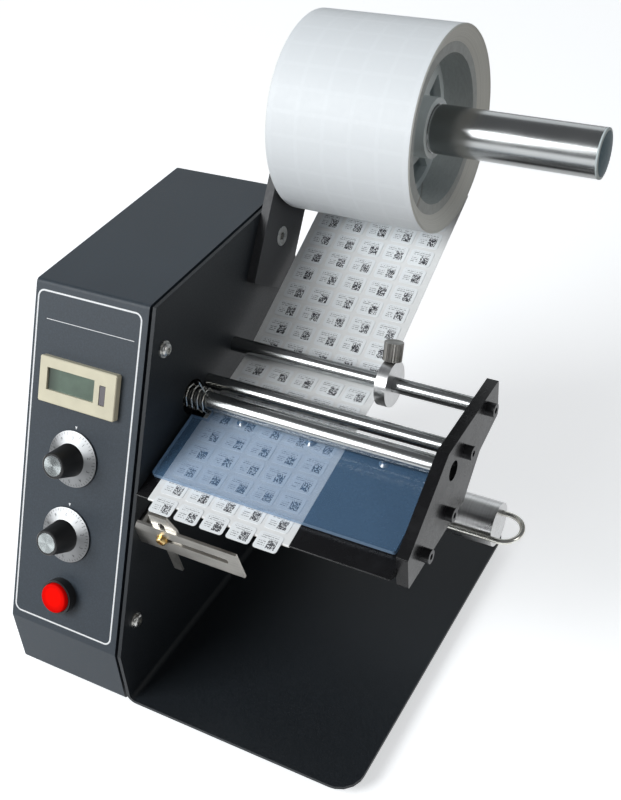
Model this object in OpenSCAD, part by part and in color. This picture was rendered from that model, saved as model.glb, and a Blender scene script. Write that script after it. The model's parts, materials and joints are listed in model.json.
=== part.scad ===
// Label dispenser machine: a desk unit that pulls a web of labels off a roll, over
// a peel edge, and winds the empty backing web onto a motor-driven core.
//
// Modules are written in machine coordinates: X runs from the housing's side plate
// to the free ends of the spindle and rods, Y from the front edge to the rear, and
// Z up from the underside of the base plate. home() moves each piece to the
// model's own frame, whose origin is the centre of the footprint on the desk.

/* [Housing] */
// Width of the sheet metal cover, left of the side plate
cover_w = 69.3; // [62:0.1:80]
// Overall height of the housing
housing_h = 205.3; // [195:0.1:220]
// Depth of the housing and of the base plate
housing_d = 209; // [200:1:230]
// Height of the upright front wall below the control panel
front_h = 35.4; // [30:0.1:40]
// How far the panel leans back from foot to top
panel_setback = 77.8; // [74:0.1:82]
// Sheet thickness of the cover
cover_t = 1.5; // [1:0.1:2]
// Outer radius of the cover's folds
fold_r = 2.5; // [2.2:0.1:4]
// Width of the flange that turns in around the cover's open side
cover_flange = 13.8; // [13.4:0.1:15]
// Gap between the cover's flange and the side plate
plate_gap = 1.8; // [1:0.1:2.5]
// Sheet thickness of the side plate and base plate
plate_t = 2; // [1.5:0.1:3]
// How far the base plate reaches to the right of the side plate
base_reach = 133.1; // [120:0.1:150]
// Corner radius of the base plate
base_corner_r = 13; // [8:0.5:20]
// Outer radius of the bend between side plate and base plate
plate_bend_r = 5; // [4:0.5:7]
// Height of a rubber foot
foot_h = 6; // [4:0.5:10]
// Radius of a rubber foot
foot_r = 9; // [6:0.5:12]
// Distance from a foot's centre to the edges near it
foot_inset = 18; // [15:1:25]

/* [Control panel] */
// Distance of the knobs and the power button from the cover's left edge
control_u = 32.2; // [30:0.1:36]
// Distance of the counter's left edge from the cover's left edge
counter_u = 8.9; // [7:0.1:12]
// Distance of the counter's top edge below the panel's top edge
counter_v = 37.1; // [34:0.1:40]
// Distance of the length knob below the panel's top edge
length_knob_v = 87.8; // [84:0.1:92]
// Distance of the speed knob below the panel's top edge
speed_knob_v = 129.7; // [126:0.1:132]
// Distance of the power button below the panel's top edge
button_v = 164.3; // [160:0.1:168]

/* [Counter] */
// Width of the counter's bezel
counter_w = 48; // [46:0.5:50]
// Height of the counter's bezel
counter_h = 24; // [23:0.5:26]
// How far the bezel stands off the panel
counter_proud = 3.8; // [3:0.1:5]
// Depth of the counter's body behind the panel
counter_depth = 28; // [22:0.5:32]
// Margin between the bezel's edge and the body behind it
counter_lip = 1.5; // [1:0.1:1.8]
// Width of the bevel round the bezel's face
counter_bevel = 0.4; // [0.2:0.1:0.6]
// Width of the display window
window_w = 29.8; // [28:0.1:31]
// Height of the display window
window_h = 11.7; // [11:0.1:12.5]
// Distance of the window from the bezel's left edge
window_u = 5; // [4:0.1:5.5]
// Distance of the window below the bezel's top edge
window_v = 5.4; // [5:0.1:6]
// Depth of the display window below the bezel's face
window_sink = 1.2; // [0.4:0.1:1.5]
// Width of the reset key
reset_w = 3.2; // [3:0.1:4]
// Height of the reset key
reset_h = 9.8; // [9:0.1:11]
// Distance of the reset key from the bezel's left edge
reset_u = 38.3; // [37.5:0.1:40]
// Distance of the reset key below the bezel's top edge
reset_v = 7.4; // [6.5:0.1:8]
// Travel of the reset key
reset_travel = 0.8; // [0.5:0.1:1]

/* [Knobs] */
// Outer radius of the dial
dial_r = 15; // [13.5:0.1:16]
// Height of the dial's rim
dial_rim_h = 0.8; // [0.6:0.1:1.2]
// Height of the dial's cone at the knob
dial_h = 3.2; // [2.6:0.1:4]
// Radius of the knob's body at the dial
knob_foot_r = 8.8; // [8:0.1:9.5]
// Radius of the knob's body at its rim
knob_rim_r = 6.8; // [6.2:0.1:7.2]
// Height of the knob's rim above the panel
knob_h = 17; // [15:0.5:20]
// Radius of the turned inlay in the knob's end
inlay_r = 5.4; // [5:0.1:5.6]
// Radius of the potentiometer's shaft
pot_shaft_r = 3; // [2.5:0.1:3.2]
// Radius of the potentiometer's threaded bush
pot_bush_r = 3.8; // [3.5:0.1:4]
// Radius of the potentiometer's can
pot_can_r = 8.5; // [8:0.1:10]

/* [Power button] */
// Radius of the button's lens
lens_r = 8; // [7:0.1:8.5]
// How far the lens stands off the panel
lens_proud = 7.6; // [7:0.1:8.5]
// Outer radius of the switch's bezel
bezel_r = 9.4; // [9:0.1:10]
// How far the bezel stands off the panel
bezel_h = 5.4; // [4.5:0.1:5.8]
// Radius of the switch's threaded barrel
barrel_r = 8; // [7.6:0.1:8.4]
// Depth of the switch behind the panel
barrel_depth = 24; // [20:1:28]
// Travel of the power button
button_travel = 3; // [2:0.1:3.2]

/* [Label web] */
// Width of the backing web, the label roll and its core
web_w = 80; // [60:1:90]
// Distance of the web and the roll from the side plate
web_x = 7.5; // [7:0.5:10]
// Thickness of the backing web
liner_t = 0.3; // [0.2:0.05:0.4]
// Thickness of a label
label_t = 0.2; // [0.15:0.05:0.3]
// Slope of the web over the peel platform, in degrees
web_slope = 12.3; // [11:0.1:13.5]
// Height of the peel edge above the base plate's underside
peel_z = 119.5; // [117:0.1:122]
// Distance of the peel edge behind the front edge
peel_y = 37; // [36:0.1:40]
// Width of a label across the web
label_w = 12.9; // [12:0.1:14.5]
// Length of a label along the web
label_l = 10; // [9:0.1:11]
// Gap between neighbouring labels
label_gap = 2; // [1.5:0.1:3]
// Corner radius of a label
label_r = 1.5; // [1:0.1:2]
// Labels across the web
label_columns = 5; // [3:1:5]
// How far the peeled front row reaches past the peel edge
label_overhang = 7; // [5:0.1:7.5]

/* [Peel platform] */
// Radius of the peel edge
peel_r = 0.5; // [0.4:0.05:0.8]
// Length of the platform's top, along the web
platform_l = 66; // [60:1:70]
// Depth of the platform below the web, at its rear
platform_h = 20; // [18:0.5:22]
// Angle of the bevel under the peel edge, below the horizontal
bevel_angle = 27; // [25:0.5:30]
// Length of the bevel under the peel edge
bevel_l = 18; // [16:0.5:20]
// Radius of the corner where the bevel ends
bevel_r = 2; // [1:0.1:3]
// Distance along the web from the peel edge to the platform's front screws
front_screw_u = 22; // [20:0.5:25]
// Distance along the web from the peel edge to the platform's rear screws
rear_screw_u = 49; // [45:0.5:52]
// Depth of the front screws below the web
front_screw_depth = 7.5; // [7:0.1:8.5]
// Depth of the rear screws below the web
rear_screw_depth = 10.5; // [9:0.1:12]

/* [Guide rods] */
// Distance from the side plate to the end plate's inner face
rod_span = 139; // [136:0.5:145]
// Thickness of the end plate
end_plate_t = 6; // [5:0.5:8]
// Radius of the rear and middle guide rods
guide_r = 4; // [3.5:0.1:4.5]
// Distance of the rear guide rod behind the front edge
rear_rod_y = 138; // [136:0.5:142]
// Distance of the middle guide rod behind the front edge
middle_rod_y = 110; // [109:0.5:113]
// Gap between the middle guide rod and the labels
middle_rod_gap = 0.5; // [0.4:0.1:1]
// Radius of the edge guide collar
collar_r = 12; // [10:0.5:12.5]
// Width of the edge guide collar
collar_w = 6; // [5.5:0.5:8]
// Gap between the web's edge and the collar
collar_gap = 1.5; // [0.5:0.1:3]
// Radius of the thumbscrew's knurled head
thumb_r = 5; // [4:0.1:6]
// Height of the thumbscrew's knurled head
thumb_h = 9.6; // [8:0.1:12]
// Ridges round the thumbscrew's head
thumb_ridges = 24; // [16:1:30]
// Lean of the thumbscrew towards the rear, in degrees
thumb_lean = 20; // [0:1:30]

/* [Presser] */
// Radius of the presser rod
presser_r = 5; // [4.8:0.1:5.4]
// Distance of the presser rod behind the front edge
presser_y = 95; // [94:0.5:96]
// Depth of the flat on which the presser plate seats
presser_flat = 0.3; // [0.2:0.05:0.5]
// Thickness of the clear presser plate
presser_t = 2.5; // [2:0.1:3]
// Gap between the labels and the presser plate
presser_gap = 0.3; // [0.2:0.05:0.5]
// Reach of the presser plate in front of its rod
presser_reach = 48.5; // [40:0.1:50]
// Reach of the presser plate behind its rod
presser_heel = 1.5; // [1:0.1:1.6]
// Corner radius of the presser plate
presser_corner_r = 1.5; // [1:0.5:6]
// Distance of the plate's screws in front of the rod's axis
presser_screw_y = 2; // [1.8:0.1:2.2]
// Gap between the presser plate and each side of the frame
presser_side_gap = 2.5; // [1.5:0.1:4]
// Wire diameter of the presser spring
spring_wire = 1.1; // [1:0.05:1.2]
// Mean radius of the presser spring's coil
spring_r = 6.6; // [6.3:0.1:7]
// Advance of the coil along the rod for each turn
spring_pitch = 3.3; // [3.2:0.1:3.4]
// Full turns of the presser spring
spring_turns = 6; // [5:1:6]
// Distance of the spring's upright leg from the side plate
spring_leg_x = 10.8; // [9:0.1:11.5]
// Direction of the upright leg, in degrees from level, towards the rear
spring_leg_angle = 113; // [105:1:120]
// Reach of the upright leg above the rod's axis
spring_leg_l = 19; // [14:0.5:21]
// Radius of the side plate's opening round the spring
spring_hole_r = 9.5; // [9:0.1:10]

/* [Label roll] */
// Outer radius of the label roll
roll_r = 52.5; // [48:0.5:60]
// Outer radius of the roll's cardboard core
core_outer_r = 43.4; // [41:0.1:44]
// Inner radius of the roll's cardboard core
core_inner_r = 38.1; // [37:0.1:39]
// Depth of the core's end inside the roll's dished right face
core_inset = 4.4; // [0:0.2:6]
// Depth of each hub's face inside the roll
hub_recess = 21; // [16:0.5:22]
// Width of a hub's rim
hub_rim_w = 14; // [12:0.5:20]
// Thickness of a hub's web
hub_web_t = 4; // [3:0.5:6]
// Radius of the boss round the spindle
hub_boss_r = 15.5; // [15:0.5:18]
// Length of the right hub's boss in front of its face
hub_boss_l = 12; // [6:0.5:14]
// Windows in a hub's web
hub_windows = 4; // [3:1:6]

/* [Roll arm and spindle] */
// Thickness of the arm
arm_t = 5; // [4:0.5:6]
// Width of the arm
arm_w = 40; // [36:1:44]
// Lean of the arm behind the upright, in degrees
arm_lean = 34.8; // [32:0.2:38]
// Distance of the arm's screw in front of the housing's rear
arm_screw_back = 20.2; // [18:0.1:23]
// Distance of the arm's screw below the housing's top
arm_screw_drop = 19.2; // [18:0.1:22]
// Distance from the arm's screw to the spindle's axis
arm_l = 69; // [66:0.5:75]
// Length of the arm below its screw
arm_tail = 28; // [24:0.5:30]
// Length of the arm above the spindle's axis
arm_head = 20; // [17:0.5:24]
// Radius of the spindle
spindle_r = 12.5; // [12:0.1:12.6]
// Wall of the spindle's tube
spindle_wall = 2; // [1.5:0.1:3]
// Distance of the spindle's open end from the side plate
spindle_end = 165; // [155:1:180]
// Height of the domed end cap
cap_h = 2.4; // [2:0.1:4]
// Running clearance between a shaft and its bore
running_fit = 0.05; // [0.03:0.01:0.08]

/* [Take-up core] */
// Radius of the take-up core
takeup_r = 12; // [11:0.1:13]
// Distance of the core behind the front edge
takeup_y = 140; // [136:0.5:144]
// Height of the core above the base plate's underside
takeup_z = 70; // [68:0.5:74]
// Distance of the core's free end from the side plate
takeup_end = 152; // [148:0.5:160]
// Wall of the core's tube
takeup_wall = 3; // [2.5:0.1:3.5]
// Wire diameter of the liner clip
clip_wire = 3; // [2.5:0.1:3.2]
// Distance of the clip's inner leg from the core's axis
clip_inner_r = 6.5; // [5.5:0.1:6.8]
// Direction of the clip's inner leg from the core's axis, in degrees
clip_inner_angle = 35; // [30:1:90]
// Direction of the clip's outer leg from the core's axis, in degrees
clip_outer_angle = 172; // [165:1:175]
// Straight run of the clip between the core and its bend
clip_reach = 4.2; // [3:0.1:4.3]
// Thickness of the liner wound on the core
windings_t = 1.8; // [1:0.1:3]
// Radius of the driven shaft
shaft_r = 6; // [5:0.1:6.5]

/* [Drive] */
// Distance from the side plate to the inner drive plate
drive_gap = 18; // [17:0.5:20]
// Thickness of the inner drive plate
drive_plate_t = 2; // [1.5:0.1:3]
// Distance of the motor's shaft in front of the take-up core
motor_dy = 52; // [50:0.5:56]
// Distance of the motor's shaft below the take-up core
motor_dz = 12; // [8:0.5:14]
// Radius of the gear motor's gearbox
gearbox_r = 18.5; // [16:0.1:18.5]
// Length of the gear motor's gearbox
gearbox_l = 19; // [17:0.5:20]
// Radius of the gear motor's can
motor_r = 16.5; // [14:0.1:17]
// Length of the gear motor's can
motor_l = 24; // [20:0.5:25]
// Distance between the motor's axis and its output shaft
motor_offset = 7; // [5:0.1:7.5]
// Radius of the motor's output shaft
motor_shaft_r = 3; // [2.5:0.1:3.5]
// Pitch of the timing belt
belt_pitch = 3; // [2.5:0.1:3.2]
// Teeth of the motor's pulley
motor_teeth = 20; // [16:1:24]
// Teeth of the take-up pulley
takeup_teeth = 40; // [36:1:44]
// Width of the timing belt
belt_w = 9; // [8:0.5:10]
// Thickness of the timing belt's back
belt_t = 1.4; // [1:0.1:1.8]

/* [Label sensor] */
// Distance of the sensor rail's top edge behind the front edge
rail_y = 30; // [29:0.1:31]
// Height of the sensor rail's top edge above the base plate's underside
rail_z = 108; // [107:0.1:109]
// Width of the sensor rail
rail_w = 62; // [58:0.5:80]
// Height of the sensor rail
rail_h = 18.5; // [17:0.5:24]
// Thickness of the sensor rail and of its carrier
rail_t = 1.5; // [1:0.1:2]
// Distance of the slot's left end from the side plate
slot_x0 = 14.7; // [14:0.1:16]
// Distance of the slot's right end from the side plate
slot_x1 = 55; // [50:0.5:57]
// Distance of the slot below the rail's top edge
slot_drop = 8.2; // [7.5:0.1:9]
// Distance of the carrier's left edge from the side plate
carrier_x = 11.7; // [10.5:0.1:12.5]
// Width of the carrier at its top
carrier_top_w = 10.5; // [10:0.1:12]
// Width of the carrier at the rail
carrier_w = 14.5; // [13:0.1:16]
// Height of the carrier above the rail
carrier_rise = 8.6; // [8:0.1:9]
// Radius of the optical sensor in the carrier
sensor_r = 2; // [1.8:0.1:2.4]

/* [Fasteners] */
// Thread radius of the frame's cap screws
m4_r = 2; // [1.8:0.05:2.1]
// Head radius of the frame's cap screws
m4_head_r = 3.5; // [3.2:0.1:3.6]
// Head height of the frame's cap screws
m4_head_h = 4; // [3.5:0.1:4.2]
// Thread radius of the small screws
m3_r = 1.5; // [1.3:0.05:1.6]
// Head radius of the small screws
m3_head_r = 2.8; // [2.5:0.1:3]
// Head height of the small screws
m3_head_h = 2; // [1.6:0.1:2.2]
// Thread radius of the arm's countersunk screw
m6_r = 3; // [2.8:0.1:3.2]
// Head radius of the arm's countersunk screw
m6_head_r = 5.4; // [5:0.1:5.8]
// Thread radius of the spindle's bolt
m8_r = 4; // [3.5:0.1:4.2]
// Clearance round a fastener in its hole
hole_gap = 0.15; // [0.1:0.05:0.3]

/* [Hidden] */
$fn = 48;

// Air between pieces that move past each other
air = 0.3;
// Extra length that carries a cut past the face it opens
past = 1;

// Charcoal powder coat
charcoal = [0.19, 0.21, 0.24];
// Gloss black of the end plate, platform and dark plastics
black = [0.07, 0.07, 0.08];
// Polished steel
steel = [0.75, 0.76, 0.78];
// Zinc plated fasteners
zinc = [0.66, 0.67, 0.68];

// Cover and side plate
plate_x = -plate_t;
cover_x1 = plate_x - plate_gap;
cover_x0 = cover_x1 - cover_w;
panel_lean = atan2(panel_setback, housing_h - front_h);
housing_outline = [[0, 0], [housing_d, 0], [housing_d, housing_h],
    [panel_setback, housing_h], [0, front_h]];

// Web line: the top of the peel platform, on which the backing web lies
web_dir = [cos(web_slope), sin(web_slope)];
web_up = [-sin(web_slope), cos(web_slope)];
web_t = liner_t + label_t;
web_skim = 0.02;
label_seat = 0.02;
peel_c = [peel_y + peel_r, peel_z - peel_r];
peel_top = peel_c + peel_r * web_up;

// Guide rods, each at its height above the web line
guide_gap = 0.1;
rear_rod = above_web(rear_rod_y, web_t + guide_gap + guide_r);
middle_rod = above_web(middle_rod_y, web_t + middle_rod_gap + guide_r);
presser_h = web_t + presser_gap + presser_t + presser_r - presser_flat;
presser = above_web(presser_y, presser_h);

// Platform
bevel_dir = [cos(bevel_angle), -sin(bevel_angle)];
bevel_down = [-sin(bevel_angle), -cos(bevel_angle)];
bevel_end = peel_c + peel_r * bevel_down + bevel_l * bevel_dir;
bevel_c = bevel_end - bevel_r * bevel_down;
platform_back = peel_top + platform_l * web_dir;
platform_screws = [for (s = [[front_screw_u, front_screw_depth],
        [rear_screw_u, rear_screw_depth]])
    peel_top + s[0] * web_dir - s[1] * web_up];

// Arm and spindle
arm_screw = [housing_d - arm_screw_back, housing_h - arm_screw_drop];
arm_dir = [sin(arm_lean), cos(arm_lean)];
spindle_c = arm_screw + arm_l * arm_dir;

// Take-up core, its clip and what is wound on both
takeup_c = [takeup_y, takeup_z];
clip_r = clip_wire / 2;
clip_inner = clip_inner_r * [cos(clip_inner_angle), sin(clip_inner_angle)];
clip_outer_r = takeup_r + clip_r + air;
clip_outer = clip_outer_r * [cos(clip_outer_angle), sin(clip_outer_angle)];
clip_bend_r = norm(clip_outer - clip_inner) / 2;
clip_lean = atan2(clip_outer[1] - clip_inner[1], clip_outer[0] - clip_inner[0]);
clip_x0 = 14;
clip_middle = takeup_c + (clip_inner + clip_outer) / 2;
windings_r = clip_outer_r + clip_r + guide_gap + windings_t;

// Path of the backing web, on the side that lies on the platform
return_r = windings_r + air + liner_t;
bevel_wrap_r = bevel_r + web_skim;
return_dir = atan2(takeup_c[1] - bevel_c[1], takeup_c[0] - bevel_c[0])
    + asin((bevel_wrap_r + return_r) / norm(takeup_c - bevel_c));
rear_wrap_r = guide_r + guide_gap + web_t - web_skim;
roll_tangent_r = roll_r + air + web_t;
rise_dir = atan2(spindle_c[1] - rear_rod[1], spindle_c[0] - rear_rod[0])
    - asin((roll_tangent_r - rear_wrap_r) / norm(spindle_c - rear_rod));
rise_start = rear_rod + rear_wrap_r * polar(rise_dir - 90);
rise_end = spindle_c + roll_tangent_r * polar(rise_dir - 90);
flat_run = (rear_rod - peel_top) * web_dir;
web_path = concat(
    [takeup_c + return_r * polar(return_dir + 90)],
    arc(bevel_c, bevel_wrap_r, return_dir - 90, -bevel_angle - 90, 4),
    arc(peel_c, peel_r + web_skim, 270 - bevel_angle, web_slope + 90, 8),
    arc(rear_rod, rear_wrap_r, web_slope - 90, rise_dir - 90, 4),
    [rise_end]);

// Labels
label_pitch = label_l + label_gap;
column_pitch = label_w + label_gap;
flat_rows = floor((flat_run + label_overhang - label_l) / label_pitch) + 1;
rise_rows = floor(norm(rise_end - rise_start) / label_pitch);
labels_x = web_x + (web_w - label_columns * column_pitch + label_gap) / 2;

// Presser plate and spring
plate_x0 = presser_side_gap;
plate_x1 = rod_span - presser_side_gap;
spring_wire_r = spring_wire / 2;
spring_outer_r = spring_r + spring_wire_r;
spring_sweep = 360 * spring_turns + 180;
spring_bend_r = 1.2;
spring_bend_a = spring_bend_r / spring_r * 180 / PI;
spring_a1 = spring_leg_angle + 180 - spring_bend_a;
spring_a0 = spring_a1 - spring_sweep;
spring_x0 = spring_leg_x - spring_pitch * spring_sweep / 360;
spring_tail = 9;
cup_wall = 1.5;
cup_r = spring_hole_r + cup_wall;
cup_depth = spring_wire_r + air - spring_x0 - plate_t;
cup_floor = 4;
cup_x0 = plate_x - cup_depth - cup_floor;
cup_ear = cup_r + 5;
cup_ear_w = 9;
cup_ear_t = 2;

// Edge guide collar
collar_x = web_x + web_w + collar_gap;
collar_mid = collar_x + collar_w / 2;

// Drive
motor_shaft_c = takeup_c - [motor_dy, motor_dz];
motor_c = motor_shaft_c - [motor_offset, 0];
drive_x1 = plate_x - drive_gap;
drive_x0 = drive_x1 - drive_plate_t;
drive_margin = 24;
drive_y0 = motor_c[0] - drive_margin;
drive_y1 = takeup_c[0] + drive_margin;
drive_z0 = motor_c[1] - drive_margin;
drive_z1 = takeup_c[1] + drive_margin;
pillar_r = 3.5;
pillar_inset = 6;
pillars = [for (y = [drive_y0 + pillar_inset, drive_y1 - pillar_inset],
        z = [drive_z0 + pillar_inset, drive_z1 - pillar_inset]) [y, z]];
belt_x1 = plate_x - 5;
belt_x0 = belt_x1 - belt_w;
tooth_h = 1.2;
flange_h = 1.6;
flange_t = 1;
bush_flange_r = 9;
bush_flange_t = 1.6;
bush_r = 8;
shaft_x0 = drive_x0 - 4;
shaft_seat = 22;
pillar_screw_l = 8;

motor_boss_r = 6;
motor_screws = [for (a = [120, 180, 240]) motor_c + (gearbox_r - 3.5) * polar(a)];

// Spring cup's screws
cup_screws = [for (s = [-1, 1]) presser + [0, s * cup_ear]];
cup_screw_bite = 1.5;

// Arm: nut and dowel behind it, bolt of the spindle
nut_r = 5.77;
nut_h = 5;
m6_head_h = m6_head_r - m6_r;
dowel_r = 2.5;
dowel_drop = 18;
dowel_depth = 3.5;
arm_dowel = arm_screw - dowel_drop * arm_dir;
spindle_root = 16;
m8_head_r = 6.5;
m8_head_h = 7;

// Hub windows, and the spindle's groove for a retaining ring beside the right hub
window_a0 = -7;
window_a1 = 27;
ring_w = 1.3;
ring_depth = 0.55;
ring_x = web_x + web_w - hub_recess + hub_boss_l + air;

// Presser: depth of the rod's end in the end plate, notch round the spring, screws
presser_sink = 2.5;
plate_notch_x = spring_leg_x + spring_wire_r + 2 * air;
plate_notch_y = spring_outer_r + 2 * air;
presser_screw_x = [for (s = [0.2, 0.5, 0.8]) plate_x0 + s * (plate_x1 - plate_x0)];
m3_cone = m3_head_r - m3_r;

// Take-up core
core_x0 = 3;
core_end_t = 4;
core_root = shaft_seat + 3;
clip_inner_x0 = core_x0 + core_root + 6;

// Depth of the tapped holes in the rods and the platform
rod_thread = 12;

// Sensor rail
slot_r = m3_r + hole_gap;
carrier_y0 = rail_t + 0.1;
rail_ear_l = 24;
rail_ear_drop = 6;
rail_corner = 3;
rail_screws = [for (u = [10, 19]) [u, -(rail_h + rail_ear_drop) / 2]];
screw_x = slot_x0 + m3_r + hole_gap;
carrier_tail_w = 5;
carrier_tail_l = 24;

// Cover screws: two near the panel and two near the rear edge
panel_in = [cos(panel_lean), -sin(panel_lean)];
panel_screw_v = [21.7, 168.3];
cover_screw_inset = 10.2;
cover_screw_points = concat(
    [for (v = panel_screw_v) panel_point(v) + cover_screw_inset * panel_in],
    [for (z = [28, 120]) [housing_d - cover_screw_inset + 2, z]]);
washer_r = 4.4;
washer_t = 0.8;

// Board, transformer and inlet
board_w = 46;
board_h = 40;
board_t = 1.6;
board_y0 = 118;
board_z0 = housing_h - cover_flange - board_h;
standoff_h = 8;
standoffs = [for (y = [4, board_w - 4], z = [4, board_h - 4])
    [board_y0 + y, board_z0 + z]];
core_w = 26;
core_h = 36;
core_t = 28;
core_y0 = housing_d - cover_flange - 2 - core_w;
core_rise = 11;
core_z0 = drive_z1 + core_rise;
coil_t = 5;
inlet_w = 27;
inlet_h = 20;
inlet_x = cover_x0 + 20;
inlet_z = 20;
inlet_depth = 16;
inlet_lip = 2.5;

// Origin of the model: centre of the footprint, on the desk
model_x0 = cover_x0;
model_x1 = spindle_end + cap_h;
model_y1 = spindle_c[0] + roll_r;
centre_x = (model_x0 + model_x1) / 2;
centre_y = model_y1 / 2;

// Depths inside the counter, the knobs and the power switch
window_t = 0.8;
reset_depth = 3;
reset_sink = 0.2;
dial_bore_r = 6.6;
inlay_t = 0.8;
knob_roof = 3;
pot_bush_h = 6;
stem_r = 5;
lens_z0 = 4.4;
board_x0 = plate_x - standoff_h - board_t;

// Functions ------------------------

function unit(v) = v / norm(v);
function polar(a) = [cos(a), sin(a)];

// Points of an arc about c, from angle a0 to a1
function arc(c, r, a0, a1, n) = [for (i = [0 : n]) c + r * polar(a0 + (a1 - a0) * i / n)];

// Corner b of the path a-b-c, rounded with radius r
function corner(a, b, c, r, n) =
    let (u = unit(a - b), w = unit(c - b), half = acos(u * w) / 2,
        run = r / tan(half), m = b + unit(u + w) * r / sin(half))
    r <= 0 ? [b] : [for (i = [0 : n])
        m + r * unit((b + u * run - m) * (1 - i / n) + (b + w * run - m) * i / n)];

// Closed outline p with its corners rounded by r, or by the radii in the list r
function rounded(p, r, n = 5) = [for (i = [0 : len(p) - 1])
    each corner(p[(i + len(p) - 1) % len(p)], p[i], p[(i + 1) % len(p)],
        is_list(r) ? r[i] : r, n)];

// Sideways step at a vertex between the directions d0 and d1
function mitre(d0, d1) = let (m = unit(d0 + d1)) [-m[1], m[0]] / (m * d0);

// Outline p, anticlockwise, moved inwards by t
function inset(p, t) = [for (i = [0 : len(p) - 1])
    p[i] + t * mitre(unit(p[i] - p[(i + len(p) - 1) % len(p)]),
        unit(p[(i + 1) % len(p)] - p[i]))];

// Strip of thickness t to the left of an open path
function ribbon(p, t) = concat(p, [for (i = [len(p) - 1 : -1 : 0])
    p[i] + t * mitre(unit(p[max(i, 1)] - p[max(i, 1) - 1]),
        unit(p[min(i + 1, len(p) - 1)] - p[min(i, len(p) - 2)]))]);

// Outline round the circles (c0, r0) and (c1, r1), like a belt
function wrap(c0, r0, c1, r1, n) =
    let (d = c1 - c0, a = atan2(d[1], d[0]), g = acos((r0 - r1) / norm(d)))
    concat(arc(c0, r0, a + g, a + 360 - g, n), arc(c1, r1, a - g, a + g, n));

function rectangle(x0, y0, x1, y1) = [[x0, y0], [x1, y0], [x1, y1], [x0, y1]];

// Point at distance y behind the front edge and height h above the web line
function above_web(y, h) =
    [y, peel_top[1] + (y - peel_top[0]) * tan(web_slope) + h / cos(web_slope)];

// Point of the panel's surface at distance v below its top edge
function panel_point(v) =
    [panel_setback - v * sin(panel_lean), housing_h - v * cos(panel_lean)];

// Spring: upright leg and tangential tail joined by the coil, as points along the wire
function coil_point(a) = [spring_x0 + (a - spring_a0) / 360 * spring_pitch,
    spring_r * cos(a), spring_r * sin(a)];
function leg_point(along, across) = let (a = spring_leg_angle)
    [spring_leg_x, along * cos(a) + across * sin(a), along * sin(a) - across * cos(a)];
spring_bend = [for (a = [30, 60, 90])
    leg_point(-spring_r + spring_bend_r * (1 - cos(a)), -spring_bend_r * (1 - sin(a)))];
spring_path = concat(
    [for (s = [spring_tail, spring_tail / 2, 1.5])
        coil_point(spring_a0) + s * [0, sin(spring_a0), -cos(spring_a0)]],
    [for (i = [0 : ceil(spring_sweep / 45)])
        coil_point(spring_a0 + spring_sweep * i / ceil(spring_sweep / 45))],
    spring_bend,
    [for (s = [0, spring_r, spring_leg_l]) leg_point(s, 0)]);
spring_gap = min([for (i = [0 : len(spring_path) - 5], j = [i + 4 : len(spring_path) - 1])
    norm(spring_path[i] - spring_path[j])]) - spring_wire;
echo(least_gap_of_presser_spring = spring_gap);

// Helpers ------------------------

// From machine coordinates to the model's own frame
module home() translate([-centre_x, -centre_y, foot_h]) children();

// A (y, z) profile extruded from x0 to x1
module slab(x0, x1) translate([x0, 0, 0]) rotate([90, 0, 90])
    linear_extrude(x1 - x0) children();

// A round bar along X with its axis through the (y, z) point p
module bar(x0, x1, r, p) translate([x0, p[0], p[1]]) rotate([0, 90, 0])
    cylinder(r = r, h = x1 - x0);

// A tapered round bar along X
module taper(x0, x1, r0, r1, p) translate([x0, p[0], p[1]]) rotate([0, 90, 0])
    cylinder(r1 = r0, r2 = r1, h = x1 - x0);

// A hexagonal bar along X
module hex_bar(x0, x1, r, p) translate([x0, p[0], p[1]]) rotate([0, 90, 0])
    cylinder(r = r, h = x1 - x0, $fn = 6);

// A half profile (radius, x) turned about an axis along X through p
module turned(p) translate([0, p[0], p[1]]) rotate([0, 90, 0]) rotate_extrude() children();

// Frame whose Y runs along the web and whose Z stands up from it, at the point p
module web_frame(p) translate([0, p[0], p[1]]) rotate([web_slope, 0, 0]) children();

// Frame whose Z stands on the panel and whose Y runs up it
module panel_frame(u, v) translate([cover_x0 + u, panel_point(v)[0], panel_point(v)[1]])
    rotate([90 - panel_lean, 0, 0]) children();

// Frame whose Z runs up the arm from its screw
module arm_frame() translate([0, arm_screw[0], arm_screw[1]])
    rotate([-arm_lean, 0, 0]) children();

// Socket head cap screw along X: under-head face at x, head towards dir, shank l long
module cap_screw(x, dir, l, p) {
    difference() {
        bar(min(x, x + dir * m4_head_h), max(x, x + dir * m4_head_h), m4_head_r, p);
        hex_bar(min(x + dir * 2, x + dir * (m4_head_h + past)),
            max(x + dir * 2, x + dir * (m4_head_h + past)), 1.7, p);
    }
    bar(min(x, x - dir * l), max(x, x - dir * l), m4_r, p);
}

// Pan head screw with a cross slot, head towards +Z and under-head face at z = 0
module pan_screw(l) {
    difference() {
        rotate_extrude() polygon(concat([[0, -l], [m3_r, -l], [m3_r, 0], [m3_head_r, 0]],
            arc([m3_head_r - 1, m3_head_h - 1], 1, 0, 90, 4), [[0, m3_head_h]]));
        for (a = [0, 90]) rotate(a) translate([-0.35, -1.6, m3_head_h - 0.9])
            cube([0.7, 3.2, 2]);
    }
}

// Housing ------------------------

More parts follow.
